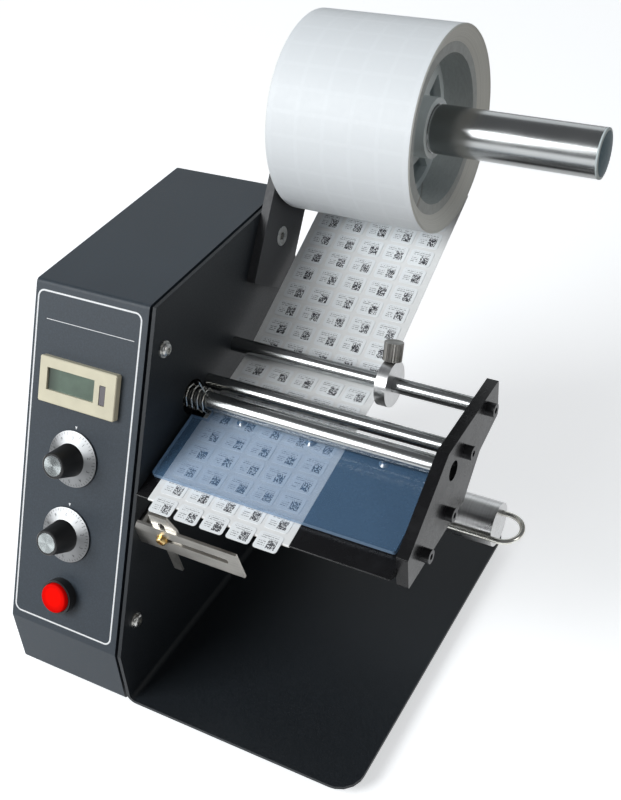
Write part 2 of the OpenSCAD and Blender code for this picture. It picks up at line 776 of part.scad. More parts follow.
module chassis_plate() color(charcoal) home() difference() {
    union() {
        slab(plate_x, 0) polygon([[0, plate_bend_r], [housing_d, plate_bend_r],
            [housing_d, housing_h], [panel_setback, housing_h], [0, front_h]]);
        plate_bend();
        linear_extrude(plate_t) polygon(rounded(
            rectangle(plate_x + plate_bend_r, 0, base_reach, housing_d),
            [0, base_corner_r, base_corner_r, 0]));
    }
    for (p = cover_screw_points) bar(plate_x - past, past, m4_r + hole_gap, p);
    for (p = concat([rear_rod, middle_rod], platform_screws))
        bar(plate_x - past, past, m4_r + hole_gap, p);
    bar(plate_x - past, past, spring_hole_r, presser);
    for (p = cup_screws) bar(plate_x - past, plate_x + cup_screw_bite, m3_r + 0.05, p);
    bar(plate_x - past, past, m6_r + hole_gap, arm_screw);
    bar(plate_x - past, past, dowel_r + 0.02, arm_dowel);
    bar(plate_x - past, past, bush_r + 0.02, takeup_c);
    web_frame([rail_y, rail_z]) for (p = rail_screws)
        bar(plate_x - past, past, m3_r + 0.05, p);
}

// Quarter round that joins the upright plate to the base plate
module plate_bend() translate([0, housing_d, 0]) rotate([90, 0, 0])
    linear_extrude(housing_d) polygon(concat(
        arc([plate_x + plate_bend_r, plate_bend_r], plate_bend_r, 180, 270, 8),
        arc([plate_x + plate_bend_r, plate_bend_r], plate_bend_r - plate_t, 270, 180, 8)));

module cover() color(charcoal) home() difference() {
    union() {
        difference() {
            slab(cover_x0, cover_x1) polygon(rounded(housing_outline, fold_r));
            slab(cover_x0 + cover_t, cover_x1 + past)
                polygon(rounded(inset(housing_outline, cover_t), fold_r - cover_t));
        }
        difference() {
            slab(cover_x1 - cover_t, cover_x1)
                polygon(rounded(inset(housing_outline, cover_t / 2), fold_r - cover_t / 2));
            slab(cover_x1 - cover_t - past, cover_x1 + past)
                polygon(inset(housing_outline, cover_flange));
        }
        for (p = cover_screw_points) bar(cover_x1 - cover_t / 2, plate_x, m4_r + 1.4, p);
    }
    for (p = cover_screw_points)
        bar(cover_x1 - cover_t - past, plate_x + past, m4_r + hole_gap, p);
    bar(cover_x1 - cover_t - past, cover_x1 + past, nut_r + 2, arm_screw);
    panel_frame(counter_u, counter_v) translate([0, -counter_h, -cover_t - past])
        linear_extrude(cover_t + 2 * past) polygon(rectangle(
            counter_lip - hole_gap, counter_lip - hole_gap,
            counter_w - counter_lip + hole_gap, counter_h - counter_lip + hole_gap));
    for (v = [length_knob_v, speed_knob_v]) panel_frame(control_u, v)
        translate([0, 0, -cover_t - past])
            cylinder(r = pot_bush_r + hole_gap, h = cover_t + 2 * past);
    panel_frame(control_u, button_v) translate([0, 0, -cover_t - past])
        cylinder(r = barrel_r + hole_gap, h = cover_t + 2 * past);
    translate([inlet_x - hole_gap, housing_d - cover_t - past, inlet_z - hole_gap])
        cube([inlet_w + 2 * hole_gap, cover_t + 2 * past, inlet_h + 2 * hole_gap]);
}

module feet() color(black) home()
    for (x = [cover_x0 + foot_inset, base_reach - foot_inset],
            y = [foot_inset, housing_d - foot_inset])
        translate([x, y, -foot_h]) difference() {
            rotate_extrude() polygon([[0, 0], [foot_r - 1, 0], [foot_r, 1],
                [foot_r, foot_h], [0, foot_h]]);
            translate([0, 0, -past]) cylinder(r = foot_r / 2, h = foot_h / 2 + past);
        }

// Button head screws with a washer under each head
module cover_screws() color(zinc) home()
    for (p = cover_screw_points) difference() {
        turned(p) polygon(concat([[0, -plate_t - plate_gap - cover_t - 2],
                [m4_r, -plate_t - plate_gap - cover_t - 2], [m4_r, 0], [washer_r, 0],
                [washer_r, washer_t], [m4_head_r, washer_t]],
            arc([m4_head_r - 1.6, washer_t + 0.6], 1.6, 0, 90, 4), [[0, washer_t + 2.2]]));
        hex_bar(washer_t + 0.7, washer_t + 2.2 + past, 1.5, p);
    }

// Roll arm and spindle ------------------------

module roll_arm() color([0.2, 0.21, 0.23]) home() arm_frame() difference() {
    slab(0, arm_t) polygon(rounded(
        rectangle(-arm_w / 2, -arm_tail, arm_w / 2, arm_l + arm_head), 1.5));
    bar(-past, arm_t + past, m6_r + hole_gap, [0, 0]);
    taper(arm_t - m6_head_h, arm_t + 0.01, m6_r + hole_gap, m6_head_r + hole_gap, [0, 0]);
    bar(-past, dowel_depth + 0.1, dowel_r + 0.02, [0, -dowel_drop]);
    bar(-past, arm_t + past, m8_r + hole_gap, [0, arm_l]);
}

// Countersunk socket screw, its nut inside the housing and the dowel below them
module arm_fasteners() color(zinc) home() arm_frame() {
    difference() {
        union() {
            bar(plate_x - nut_h - 2, arm_t - m6_head_h + 0.01, m6_r, [0, 0]);
            taper(arm_t - m6_head_h, arm_t, m6_r, m6_head_r, [0, 0]);
        }
        hex_bar(arm_t - 2.2, arm_t + past, 2.3, [0, 0]);
    }
    difference() {
        hex_bar(plate_x - nut_h, plate_x, nut_r, [0, 0]);
        bar(plate_x - nut_h - past, plate_x + past, m6_r + 0.05, [0, 0]);
    }
    bar(plate_x, dowel_depth, dowel_r, [0, -dowel_drop]);
}

module spindle() color(steel) home() difference() {
    bar(arm_t, spindle_end, spindle_r, spindle_c);
    bar(arm_t + spindle_root, spindle_end + past, spindle_r - spindle_wall, spindle_c);
    bar(arm_t - past, arm_t + spindle_root + past, m8_r + 0.05, spindle_c);
    turned(spindle_c) polygon(rectangle(
        spindle_r - ring_depth, ring_x, spindle_r + past, ring_x + ring_w));
}

module spindle_bolt() color(zinc) home() difference() {
    union() {
        bar(-m8_head_h, 0, m8_head_r, spindle_c);
        bar(-past, arm_t + spindle_root - 2, m8_r, spindle_c);
    }
    hex_bar(-m8_head_h - past, -m8_head_h / 2, 3.4, spindle_c);
}

// Domed plug that closes the spindle's open end
module spindle_cap() color([0.42, 0.5, 0.56]) home() {
    rim = 0.8;
    bulge = cap_h - rim;
    dome_r = (spindle_r * spindle_r + bulge * bulge) / (2 * bulge);
    plug_r = spindle_r - spindle_wall - 0.05;
    turned(spindle_c) polygon(concat(
        [[0, spindle_end - 8], [plug_r, spindle_end - 8], [plug_r, spindle_end],
            [spindle_r, spindle_end]],
        [for (i = [0 : 6]) let (r = spindle_r * (1 - i / 6))
            [r, spindle_end + cap_h - dome_r + sqrt(dome_r * dome_r - r * r)]]));
}

// Label roll ------------------------

module label_roll() color([0.93, 0.95, 0.97]) home() turned(spindle_c) {
    edge = 0.6;
    polygon([[core_outer_r + 0.05, web_x], [roll_r - edge, web_x], [roll_r, web_x + edge],
        [roll_r, web_x + web_w - edge], [roll_r - edge, web_x + web_w],
        [core_outer_r + 0.05, web_x + web_w - core_inset]]);
}

module roll_core() color([0.55, 0.49, 0.42]) home() difference() {
    bar(web_x, web_x + web_w - core_inset, core_outer_r, spindle_c);
    bar(web_x - past, web_x + web_w + past, core_inner_r, spindle_c);
}

// One hub with its face at x = 0 and its boss standing out to the given length
module core_hub(boss) difference() {
    rim_r = core_inner_r - 0.05;
    turned([0, 0]) polygon([[spindle_r + running_fit, -hub_rim_w],
        [hub_boss_r, -hub_rim_w], [hub_boss_r, -hub_web_t], [rim_r - 3, -hub_web_t],
        [rim_r - 3, -hub_rim_w], [rim_r, -hub_rim_w], [rim_r, 0], [hub_boss_r, 0],
        [hub_boss_r, boss], [spindle_r + running_fit, boss]]);
    for (i = [0 : hub_windows - 1]) rotate([i * 360 / hub_windows, 0, 0])
        slab(-hub_web_t - past, past) polygon(concat(
            arc([0, 0], rim_r - 4, window_a0, window_a1, 6),
            arc([0, 0], hub_boss_r + 6, window_a1, window_a0, 6)));
}

module core_hubs() color([0.9, 0.91, 0.9]) home() {
    translate([web_x + web_w - hub_recess, spindle_c[0], spindle_c[1]])
        core_hub(hub_boss_l);
    translate([web_x + hub_recess, spindle_c[0], spindle_c[1]]) mirror([1, 0, 0])
        core_hub(web_x + hub_recess - arm_t - air);
}

// Label web ------------------------

module liner_web() color([0.9, 0.9, 0.86]) home()
    slab(web_x, web_x + web_w) polygon(ribbon(web_path, liner_t));

// One row of labels, its front edge at y = 0
module label_row() for (i = [0 : label_columns - 1])
    translate([labels_x + i * column_pitch, 0, liner_t + label_seat]) linear_extrude(label_t)
        polygon(rounded(rectangle(0, 0, label_w, label_l), label_r, 3));

module labels() color([0.97, 0.97, 0.96]) home() {
    web_frame(peel_top + web_skim * web_up) for (i = [0 : flat_rows - 1])
        translate([0, i * label_pitch - label_overhang, 0]) label_row();
    translate([0, rise_start[0], rise_start[1]]) rotate([rise_dir, 0, 0])
        for (i = [0 : rise_rows - 1]) translate([0, i * label_pitch + label_gap / 2, 0])
            label_row();
}

// Guide rods and end plate ------------------------

module guide_rod(p) difference() {
    bar(0, rod_span, guide_r, p);
    for (x = [[-past, rod_thread], [rod_span - rod_thread, rod_span + past]])
        bar(x[0], x[1], m4_r + 0.05, p);
}

module rear_guide_rod() color(steel) home() guide_rod(rear_rod);

module middle_guide_rod() color(steel) home() guide_rod(middle_rod);

module guide_collar() color([0.72, 0.73, 0.74]) home() difference() {
    bar(collar_x, collar_x + collar_w, collar_r, rear_rod);
    bar(collar_x - past, collar_x + collar_w + past, guide_r + running_fit, rear_rod);
    translate([collar_mid, rear_rod[0], rear_rod[1]]) rotate([-thumb_lean, 0, 0])
        cylinder(r = m4_r + hole_gap, h = collar_r + past);
}

// Thumbscrew that clamps the collar: plain stem and a straight-knurled head
module collar_thumbscrew() color(zinc) home()
    translate([collar_mid, rear_rod[0], rear_rod[1]]) rotate([-thumb_lean, 0, 0]) {
        head_z = collar_r + air;
        translate([0, 0, guide_r + air]) cylinder(r = m4_r, h = head_z - guide_r);
        translate([0, 0, head_z]) linear_extrude(thumb_h)
            polygon([for (i = [0 : 2 * thumb_ridges - 1])
                (thumb_r - 0.35 * (i % 2)) * polar(i * 180 / thumb_ridges)]);
    }

module end_plate() color(black) home() difference() {
    front = peel_y + 7;
    low = peel_z - 10;
    rear = rear_rod[0] + 13.5;
    top = rear_rod[1] + 8;
    slab(rod_span, rod_span + end_plate_t) polygon(rounded([[front, low],
        [platform_screws[1][0] + 20, low + 0.5], [middle_rod[0] + 18, rear_rod[1] - 19],
        [rear, rear_rod[1] - 13], [rear, top], [presser[0] - 5, top],
        [front, peel_z + 7.5]], 0.8, 3));
    for (p = concat([rear_rod, middle_rod], platform_screws))
        bar(rod_span - past, rod_span + end_plate_t + past, m4_r + hole_gap, p);
    bar(rod_span - past, rod_span + end_plate_t + past, presser_r + running_fit, presser);
}

// Cap screws into both ends of the guide rods and the platform
module frame_screws() color([0.16, 0.16, 0.17]) home()
    for (p = concat([rear_rod, middle_rod], platform_screws)) {
        cap_screw(rod_span + end_plate_t, 1, end_plate_t + rod_thread - 2, p);
        cap_screw(plate_x, -1, plate_t + rod_thread - 2, p);
    }

module peel_platform() color(black) home() difference() {
    back_low = platform_back - platform_h * web_up;
    underside = atan2(back_low[1] - bevel_end[1], back_low[0] - bevel_end[0]);
    slab(0, rod_span) polygon(concat(
        arc(peel_c, peel_r, 270 - bevel_angle, web_slope + 90, 8),
        [platform_back, back_low],
        arc(bevel_c, bevel_r, underside - 90, -bevel_angle - 90, 4)));
    for (p = platform_screws, x = [[-past, rod_thread],
            [rod_span - rod_thread, rod_span + past]])
        bar(x[0], x[1], m4_r + 0.05, p);
}

// Presser ------------------------

module presser_rod() color(steel) home() difference() {
    bar(cup_x0, rod_span + end_plate_t - presser_sink, presser_r, presser);
    web_frame(presser) {
        translate([plate_notch_x, -presser_r, -presser_r - past])
            cube([plate_x1 - plate_notch_x, 2 * presser_r, presser_flat + past]);
        for (x = presser_screw_x) translate([x, -presser_screw_y, -presser_r])
            cylinder(r = m3_r + 0.05, h = presser_r + 2);
    }
    translate([spring_leg_x, presser[0], presser[1]]) rotate([spring_leg_angle - 90, 0, 0])
        cylinder(r = spring_wire_r + 0.35, h = 3 * presser_r, center = true);
}

// Clear plate with rounded front corners and a notch round the spring
module presser_plate() color([0.75, 0.85, 0.95, 0.45]) home() web_frame(presser)
    translate([0, 0, presser_flat - presser_r - presser_t]) difference() {
        linear_extrude(presser_t) polygon(rounded([[plate_x0, -presser_reach],
            [plate_x1, -presser_reach], [plate_x1, presser_heel],
            [plate_notch_x, presser_heel], [plate_notch_x, -plate_notch_y],
            [plate_x0, -plate_notch_y]],
            [presser_corner_r, presser_corner_r, 0, 0, 0, 0]));
        for (x = presser_screw_x) translate([x, -presser_screw_y, 0]) {
            translate([0, 0, -past])
                cylinder(r = m3_r + hole_gap, h = presser_t + 2 * past);
            translate([0, 0, -0.01])
                cylinder(r1 = m3_head_r + hole_gap, r2 = m3_r + hole_gap, h = m3_cone);
        }
    }

// Countersunk screws that hold the plate to the rod, heads flush underneath
module presser_screws() color(zinc) home() web_frame(presser)
    for (x = presser_screw_x)
        translate([x, -presser_screw_y, presser_flat - presser_r - presser_t]) {
            cylinder(r1 = m3_head_r, r2 = m3_r, h = m3_cone);
            translate([0, 0, m3_cone - 0.01])
                cylinder(r = m3_r, h = presser_t + 3 - m3_cone);
        }

// Torsion spring: one unbroken wire, swept with six sides along spring_path
module presser_spring() color([0.8, 0.8, 0.76]) home()
    translate([0, presser[0], presser[1]]) {
        sides = 6;
        last = len(spring_path) - 1;
        rings = [for (i = [0 : last])
            let (t = unit(spring_path[min(i + 1, last)] - spring_path[max(i - 1, 0)]),
                n = unit([1, 0, 0] - t[0] * t), b = cross(t, n))
            for (k = [0 : sides - 1])
                spring_path[i] + spring_wire_r
                    * (cos(k * 360 / sides) * n + sin(k * 360 / sides) * b)];
        walls = [for (i = [0 : last - 1], k = [0 : sides - 1])
            let (a = i * sides + k, b = i * sides + (k + 1) % sides)
            each [[a, a + sides, b], [b, a + sides, b + sides]]];
        caps = [for (k = [1 : sides - 2])
            each [[0, k, k + 1], [last * sides, last * sides + k + 1, last * sides + k]]];
        polyhedron(points = rings, faces = concat(walls, caps));
    }

// Bearing cup behind the side plate: carries the presser rod and holds the spring's tail
module spring_cup() color([0.3, 0.3, 0.32]) home() difference() {
    union() {
        bar(cup_x0, plate_x, cup_r, presser);
        slab(plate_x - cup_ear_t, plate_x) polygon(rounded(rectangle(
            presser[0] - cup_ear_w / 2, presser[1] - cup_ear - 4,
            presser[0] + cup_ear_w / 2, presser[1] + cup_ear + 4), 2, 3));
    }
    bar(plate_x - cup_depth, plate_x + past, spring_hole_r, presser);
    bar(cup_x0 - past, plate_x, presser_r + running_fit, presser);
    for (p = cup_screws) bar(plate_x - cup_ear_t - past, plate_x + past, m3_r + 0.05, p);
    translate([0, presser[0], presser[1]]) translate(coil_point(spring_a0))
        rotate([spring_a0 + 180, 0, 0]) cylinder(r = spring_wire_r + air, h = 12);
}

// Take-up core and clip ------------------------

module takeup_core() color([0.78, 0.79, 0.8]) home() difference() {
    bar(core_x0, takeup_end, takeup_r, takeup_c);
    bar(core_x0 + core_root, takeup_end - core_end_t, takeup_r - takeup_wall, takeup_c);
    bar(core_x0 - past, core_x0 + shaft_seat, shaft_r + 0.02, takeup_c);
    bar(takeup_end - core_end_t - past, takeup_end + past, clip_r + hole_gap,
        takeup_c + clip_inner);
}

module takeup_shaft() color(steel) home()
    bar(shaft_x0, core_x0 + shaft_seat, shaft_r, takeup_c);

// Spent liner wound over the core and the clip's outer leg
module liner_windings() color([0.88, 0.88, 0.84]) home() difference() {
    slab(web_x, web_x + web_w) polygon(wrap(takeup_c, takeup_r + guide_gap + windings_t,
        takeup_c + clip_outer, clip_r + guide_gap + windings_t, 24));
    slab(web_x - past, web_x + web_w + past) polygon(wrap(takeup_c, takeup_r + guide_gap,
        takeup_c + clip_outer, clip_r + guide_gap, 24));
}

// U-shaped wire: one leg in the core's end, the other along its outside
module liner_clip() color([0.7, 0.68, 0.64]) home()
    translate([0, clip_middle[0], clip_middle[1]]) rotate([clip_lean, 0, 0]) {
        bend_x = takeup_end + clip_reach;
        bar(clip_inner_x0, bend_x + 0.01, clip_r, [-clip_bend_r, 0]);
        bar(clip_x0, bend_x + 0.01, clip_r, [clip_bend_r, 0]);
        translate([bend_x, 0, 0]) rotate([0, 0, -90]) rotate_extrude(angle = 180)
            translate([clip_bend_r, 0]) circle(r = clip_r);
    }

// Drive ------------------------

// Radius of a pulley's teeth tips
function tip_r(teeth) = teeth * belt_pitch / (2 * PI) - 0.4;

// Toothed belt pulley with two flanges, bored for its shaft
module pulley(teeth, bore, p) translate([0, p[0], p[1]]) difference() {
    union() {
        slab(belt_x0, belt_x1) polygon([for (i = [0 : teeth - 1], s = [0.05, 0.5, 0.62, 0.93])
            (tip_r(teeth) - (s > 0.55 ? tooth_h : 0)) * polar((i + s) * 360 / teeth)]);
        for (x = [belt_x0 - flange_t, belt_x1])
            bar(x, x + flange_t, tip_r(teeth) + flange_h, [0, 0]);
    }
    bar(belt_x0 - flange_t - past, belt_x1 + flange_t + past, bore + 0.02, [0, 0]);
}

module takeup_pulley() color(steel) home() pulley(takeup_teeth, shaft_r, takeup_c);

module motor_pulley() color(steel) home() {
    pulley(motor_teeth, motor_shaft_r, motor_shaft_c);
    bar(drive_x0 - 10, belt_x1 + 2, motor_shaft_r, motor_shaft_c);
}

// Flanged bronze bushes in the side plate and in the drive plate
module shaft_bushes() color([0.7, 0.52, 0.3]) home() difference() {
    union() {
        bar(plate_x - 3, 0, bush_r, takeup_c);
        bar(0, bush_flange_t, bush_flange_r, takeup_c);
        bar(drive_x0 - 3, drive_x1, bush_r, takeup_c);
        bar(drive_x1, drive_x1 + bush_flange_t, bush_flange_r, takeup_c);
    }
    bar(drive_x0 - 3 - past, bush_flange_t + past, shaft_r + running_fit, takeup_c);
}

module drive_plate() color(zinc) home() difference() {
    slab(drive_x0, drive_x1) polygon(rounded(
        rectangle(drive_y0, drive_z0, drive_y1, drive_z1), 4));
    bar(drive_x0 - past, drive_x1 + past, bush_r + 0.02, takeup_c);
    bar(drive_x0 - past, drive_x1 + past, motor_boss_r + hole_gap, motor_shaft_c);
    for (p = concat(pillars, motor_screws))
        bar(drive_x0 - past, drive_x1 + past, m3_r + hole_gap, p);
}

module drive_pillars() color(zinc) home() for (p = pillars) difference() {
    hex_bar(drive_x1, plate_x, pillar_r, p);
    bar(drive_x1 - past, drive_x1 + pillar_screw_l, m3_r + 0.05, p);
}

// Small pan head screws: drive plate, motor, spring cup, board, transformer and rail
module small_screws() color(zinc) home() {
    for (p = pillars) side_screw(drive_x0, -1, drive_plate_t + pillar_screw_l - 1, p);
    for (p = motor_screws) side_screw(drive_x1, 1, drive_plate_t + 4, p);
    for (p = cup_screws) side_screw(plate_x - cup_ear_t, -1, cup_ear_t + cup_screw_bite, p);
    for (p = standoffs) side_screw(board_x0, -1, board_t + standoff_h / 2, p);
    web_frame([rail_y, rail_z]) for (p = rail_screws)
        side_screw(rail_t, 1, rail_t + plate_t, p);
}

// Pan head screw along X, head towards dir
module side_screw(x, dir, l, p) translate([x, p[0], p[1]]) rotate([0, 90 * dir, 0])
    pan_screw(l);

module gear_motor() color([0.6, 0.6, 0.62]) home() difference() {
    union() {
        bar(drive_x0 - gearbox_l, drive_x0, gearbox_r, motor_c);
        bar(drive_x0 - past, drive_x1 + 2, motor_boss_r, motor_shaft_c);
        bar(drive_x0 - gearbox_l - motor_l, drive_x0 - gearbox_l + past, motor_r, motor_c);
        for (z = [-6, 6]) translate([drive_x0 - gearbox_l - motor_l - 3,
                motor_c[0] - 1.4, motor_c[1] + z - 0.3]) cube([4, 2.8, 0.6]);
    }
    bar(drive_x0 - 11, drive_x1 + 3, motor_shaft_r + running_fit, motor_shaft_c);
    for (p = motor_screws) bar(drive_x0 - 5, drive_x0 + past, m3_r + 0.05, p);
}

// Belt round both pulleys, its back only
module drive_belt() color(black) home() difference() {
    slab(belt_x0 + air, belt_x1 - air) polygon(wrap(
        takeup_c, tip_r(takeup_teeth) + air + belt_t,
        motor_shaft_c, tip_r(motor_teeth) + air + belt_t, 24));
    slab(belt_x0, belt_x1) polygon(wrap(takeup_c, tip_r(takeup_teeth) + air,
        motor_shaft_c, tip_r(motor_teeth) + air, 24));
}

// Label sensor ------------------------

// An (x, z) outline extruded along the web's direction from y0 to y1
module sheet(y0, y1) translate([0, y1, 0]) rotate([90, 0, 0])
    linear_extrude(y1 - y0) children();

// Slotted rail with an ear that is screwed to the side plate
module sensor_rail() color([0.68, 0.66, 0.62]) home() web_frame([rail_y, rail_z])
    difference() {
        union() {
            sheet(0, rail_t) polygon([[0, -rail_h], [rail_w, -rail_h], [rail_w - 1, 0],
                [rail_corner, 0], [0, -rail_ear_drop]]);
            slab(0, rail_t) polygon(rounded(
                rectangle(0, -rail_h, rail_ear_l, -rail_ear_drop), [0, 2, 2, 0]));
        }
        for (x = [slot_x0 + slot_r, slot_x1 - slot_r]) translate([x, -past, -slot_drop])
            rotate([-90, 0, 0]) cylinder(r = slot_r, h = rail_t + 2 * past);
        translate([slot_x0 + slot_r, -past, -slot_drop - slot_r])
            cube([slot_x1 - slot_x0 - 2 * slot_r, rail_t + 2 * past, 2 * slot_r]);
        for (p = rail_screws) bar(-past, rail_t + past, m3_r + hole_gap, p);
    }

// Sheet metal carrier that slides behind the rail and stands up under the labels
module sensor_carrier() color([0.72, 0.72, 0.7]) home() web_frame([rail_y, rail_z])
    difference() {
        foot = -slot_drop - 6;
        sheet(carrier_y0, carrier_y0 + rail_t) polygon([[carrier_x, foot],
            [carrier_x + 2, foot], [carrier_x + 2, foot - carrier_tail_l],
            [carrier_x + 2 + carrier_tail_w, foot - carrier_tail_l],
            [carrier_x + 2 + carrier_tail_w, foot], [carrier_x + carrier_w, foot],
            [carrier_x + carrier_w, 0], [carrier_x + carrier_top_w, carrier_rise],
            [carrier_x, carrier_rise]]);
        for (h = [[screw_x, -slot_drop, m3_r + hole_gap], [carrier_x + 5.9, 1.6, 2]])
            translate([h[0], 0, h[1]]) rotate([-90, 0, 0]) cylinder(r = h[2], h = 10);
    }

// Optical sensor block on the back of the carrier, looking up at the labels
module sensor_eye() color(black) home() web_frame([rail_y, rail_z]) {
    eye_w = carrier_top_w - 2;
    translate([carrier_x + 1, carrier_y0 + rail_t, carrier_rise - 5])
        cube([eye_w, 3.4, 4.6]);
    for (x = [0.25, 0.75]) translate([carrier_x + 1 + x * eye_w,
            carrier_y0 + rail_t + 1.7, carrier_rise - 0.4])
        cylinder(r = sensor_r / 2, h = 0.5);
}

module sensor_screw() color([0.8, 0.62, 0.3]) home() web_frame([rail_y, rail_z])
    translate([screw_x, 0, -slot_drop]) {
        translate([0, -0.6, 0]) rotate([90, 0, 0]) pan_screw(carrier_y0 + rail_t + 4);
        translate([0, 0, 0]) rotate([90, 0, 0]) difference() {
            cylinder(r = m3_head_r + 0.5, h = 0.6);
            translate([0, 0, -past]) cylinder(r = m3_r + 0.05, h = 3);
        }
        translate([0, carrier_y0 + rail_t, 0]) rotate([-90, 0, 0]) difference() {
            cylinder(r = 3.1, h = 2.4, $fn = 6);
            translate([0, 0, -past]) cylinder(r = m3_r + 0.05, h = 5);
        }
    }

// Counter ------------------------

// A box with rounded corners, its lower left front corner at (x, y)
module rounded_box(x, y, w, h, z0, z1, r) translate([x, y, z0]) linear_extrude(z1 - z0)
    polygon(rounded(rectangle(0, 0, w, h), r, 3));

module counter_body() color([0.86, 0.83, 0.72]) home()
    panel_frame(counter_u, counter_v) translate([0, -counter_h, 0]) difference() {
        union() {
            hull() {
                rounded_box(0, 0, counter_w, counter_h, 0, counter_proud - counter_bevel, 1);
                rounded_box(counter_bevel, counter_bevel, counter_w - 2 * counter_bevel,
                    counter_h - 2 * counter_bevel, 0, counter_proud, 1);
            }
            translate([counter_lip, counter_lip, -counter_depth])
                cube([counter_w - 2 * counter_lip, counter_h - 2 * counter_lip,
                    counter_depth + past]);
        }
        translate([window_u, counter_h - window_v - window_h,
                counter_proud - window_t - window_sink])
            cube([window_w, window_h, window_t + window_sink + past]);
        translate([reset_u - air, counter_h - reset_v - reset_h - air,
                counter_proud - reset_depth])
            cube([reset_w + 2 * air, reset_h + 2 * air, reset_depth + past]);
    }

module counter_window() color([0.5, 0.56, 0.48]) home()
    panel_frame(counter_u, counter_v)
        translate([window_u + 0.05, -window_v - window_h + 0.05,
                counter_proud - window_t - window_sink])
            cube([window_w - 0.1, window_h - 0.1, window_t]);

module counter_reset() color([0.25, 0.25, 0.25]) home()
    panel_frame(counter_u, counter_v)
        translate([reset_u, -reset_v - reset_h, counter_proud - reset_depth
                + reset_travel + air])
            cube([reset_w, reset_h, reset_depth - reset_travel - air - reset_sink]);

// Knobs ------------------------

// Spun dial: a shallow cone with an open middle round the potentiometer's nut
module dial(v) panel_frame(control_u, v) rotate_extrude()
    polygon([[dial_bore_r, air], [dial_r, air], [dial_r, air + dial_rim_h],
        [knob_foot_r, dial_h], [dial_bore_r, dial_h]]);

// Tapered knob with a recess for its inlay and a bore for the shaft
module knob(v) panel_frame(control_u, v) rotate_extrude()
    polygon([[pot_bush_r + air, dial_h], [knob_foot_r, dial_h],
        [knob_rim_r, knob_h - 0.5], [knob_rim_r - 0.5, knob_h], [inlay_r, knob_h],
        [inlay_r, knob_h - inlay_t], [0, knob_h - inlay_t], [0, knob_h - knob_roof],
        [pot_shaft_r + 0.02, knob_h - knob_roof], [pot_shaft_r + 0.02, pot_bush_h + air],
        [pot_bush_r + air, pot_bush_h + air]]);

module knob_inlay(v) panel_frame(control_u, v) translate([0, 0, knob_h - inlay_t])
    cylinder(r = inlay_r - 0.05, h = inlay_t);

module pot_shaft(v) panel_frame(control_u, v) translate([0, 0, -cover_t - 5])
    cylinder(r = pot_shaft_r, h = cover_t + 5 + knob_h - knob_roof);

module length_dial() color(steel) home() dial(length_knob_v);

module length_knob() color(black) home() knob(length_knob_v);

module length_knob_inlay() color(steel) home() knob_inlay(length_knob_v);

module length_pot_shaft() color(zinc) home() pot_shaft(length_knob_v);

module speed_dial() color(steel) home() dial(speed_knob_v);

module speed_knob() color(black) home() knob(speed_knob_v);

module speed_knob_inlay() color(steel) home() knob_inlay(speed_knob_v);

module speed_pot_shaft() color(zinc) home() pot_shaft(speed_knob_v);

// Potentiometers behind the panel, each with its bush and nut
module potentiometers() color(zinc) home()
    for (v = [length_knob_v, speed_knob_v]) panel_frame(control_u, v) {
        difference() {
            union() {
                translate([0, 0, -cover_t - 9]) cylinder(r = pot_can_r, h = 9);
                translate([0, 0, -cover_t - past])
                    cylinder(r = pot_bush_r, h = cover_t + past + pot_bush_h);
            }
            translate([0, 0, -cover_t - 6])
                cylinder(r = pot_shaft_r + running_fit, h = cover_t + 7 + pot_bush_h);
        }
        difference() {
            cylinder(r = dial_bore_r - 1, h = 2, $fn = 6);
            translate([0, 0, -past]) cylinder(r = pot_bush_r + 0.05, h = 2 + 2 * past);
        }
    }

// Power button ------------------------

module power_button() color([0.85, 0.05, 0.05]) home() panel_frame(control_u, button_v)
    rotate_extrude() polygon(concat([[0, -2], [stem_r, -2], [stem_r, lens_z0],
        [lens_r, lens_z0]], arc([lens_r - 1, lens_proud - 1], 1, 0, 90, 4),
        [[0, lens_proud]]));

// Switch with its bezel on the panel, and the nut behind it
module power_switch() color(black) home() panel_frame(control_u, button_v) {
    difference() {
        union() {
            cylinder(r = bezel_r, h = bezel_h);
            translate([0, 0, -barrel_depth]) cylinder(r = barrel_r, h = barrel_depth + past);
        }
        translate([0, 0, lens_z0 - button_travel - air])
            cylinder(r = lens_r + air, h = bezel_h);
        translate([0, 0, -2 - button_travel - air])
            cylinder(r = stem_r + air, h = bezel_h + 10);
    }
    translate([0, 0, -cover_t - 4]) difference() {
        cylinder(r = barrel_r + 3.5, h = 4, $fn = 6);
        translate([0, 0, -past]) cylinder(r = barrel_r + 0.05, h = 4 + 2 * past);
    }
}

// Electrics ------------------------

// Control board with its larger components, on the side plate's inner face
module control_board() color([0.1, 0.35, 0.2]) home() {
    difference() {
        slab(board_x0, board_x0 + board_t) polygon(rectangle(
            board_y0, board_z0, board_y0 + board_w, board_z0 + board_h));
        for (p = standoffs) bar(board_x0 - past, board_x0 + board_t + past,
            m3_r + hole_gap, p);
    }
    for (c = [[12, 16, 5, 14], [26, 14, 4, 12], [12, 28, 4, 12]])
        bar(board_x0 - c[3], board_x0, c[2], [board_y0 + c[0], board_z0 + c[1]]);
    translate([board_x0 - 12, board_y0 + 22, board_z0 + 20]) cube([12, 15, 12]);
    translate([board_x0 - 3, board_y0 + 10, board_z0 + 34]) cube([3, 24, 4]);
    for (y = [14, 28]) translate([board_x0 - 9, board_y0 + y - 5, board_z0 + 1])
        cube([9, 10, 7]);
}

module board_standoffs() color(zinc) home() for (p = standoffs) difference() {
    hex_bar(board_x0 + board_t, plate_x, 3, p);
    bar(board_x0 + board_t - past, board_x0 + board_t + standoff_h / 2 + 1,
        m3_r + 0.05, p);
}

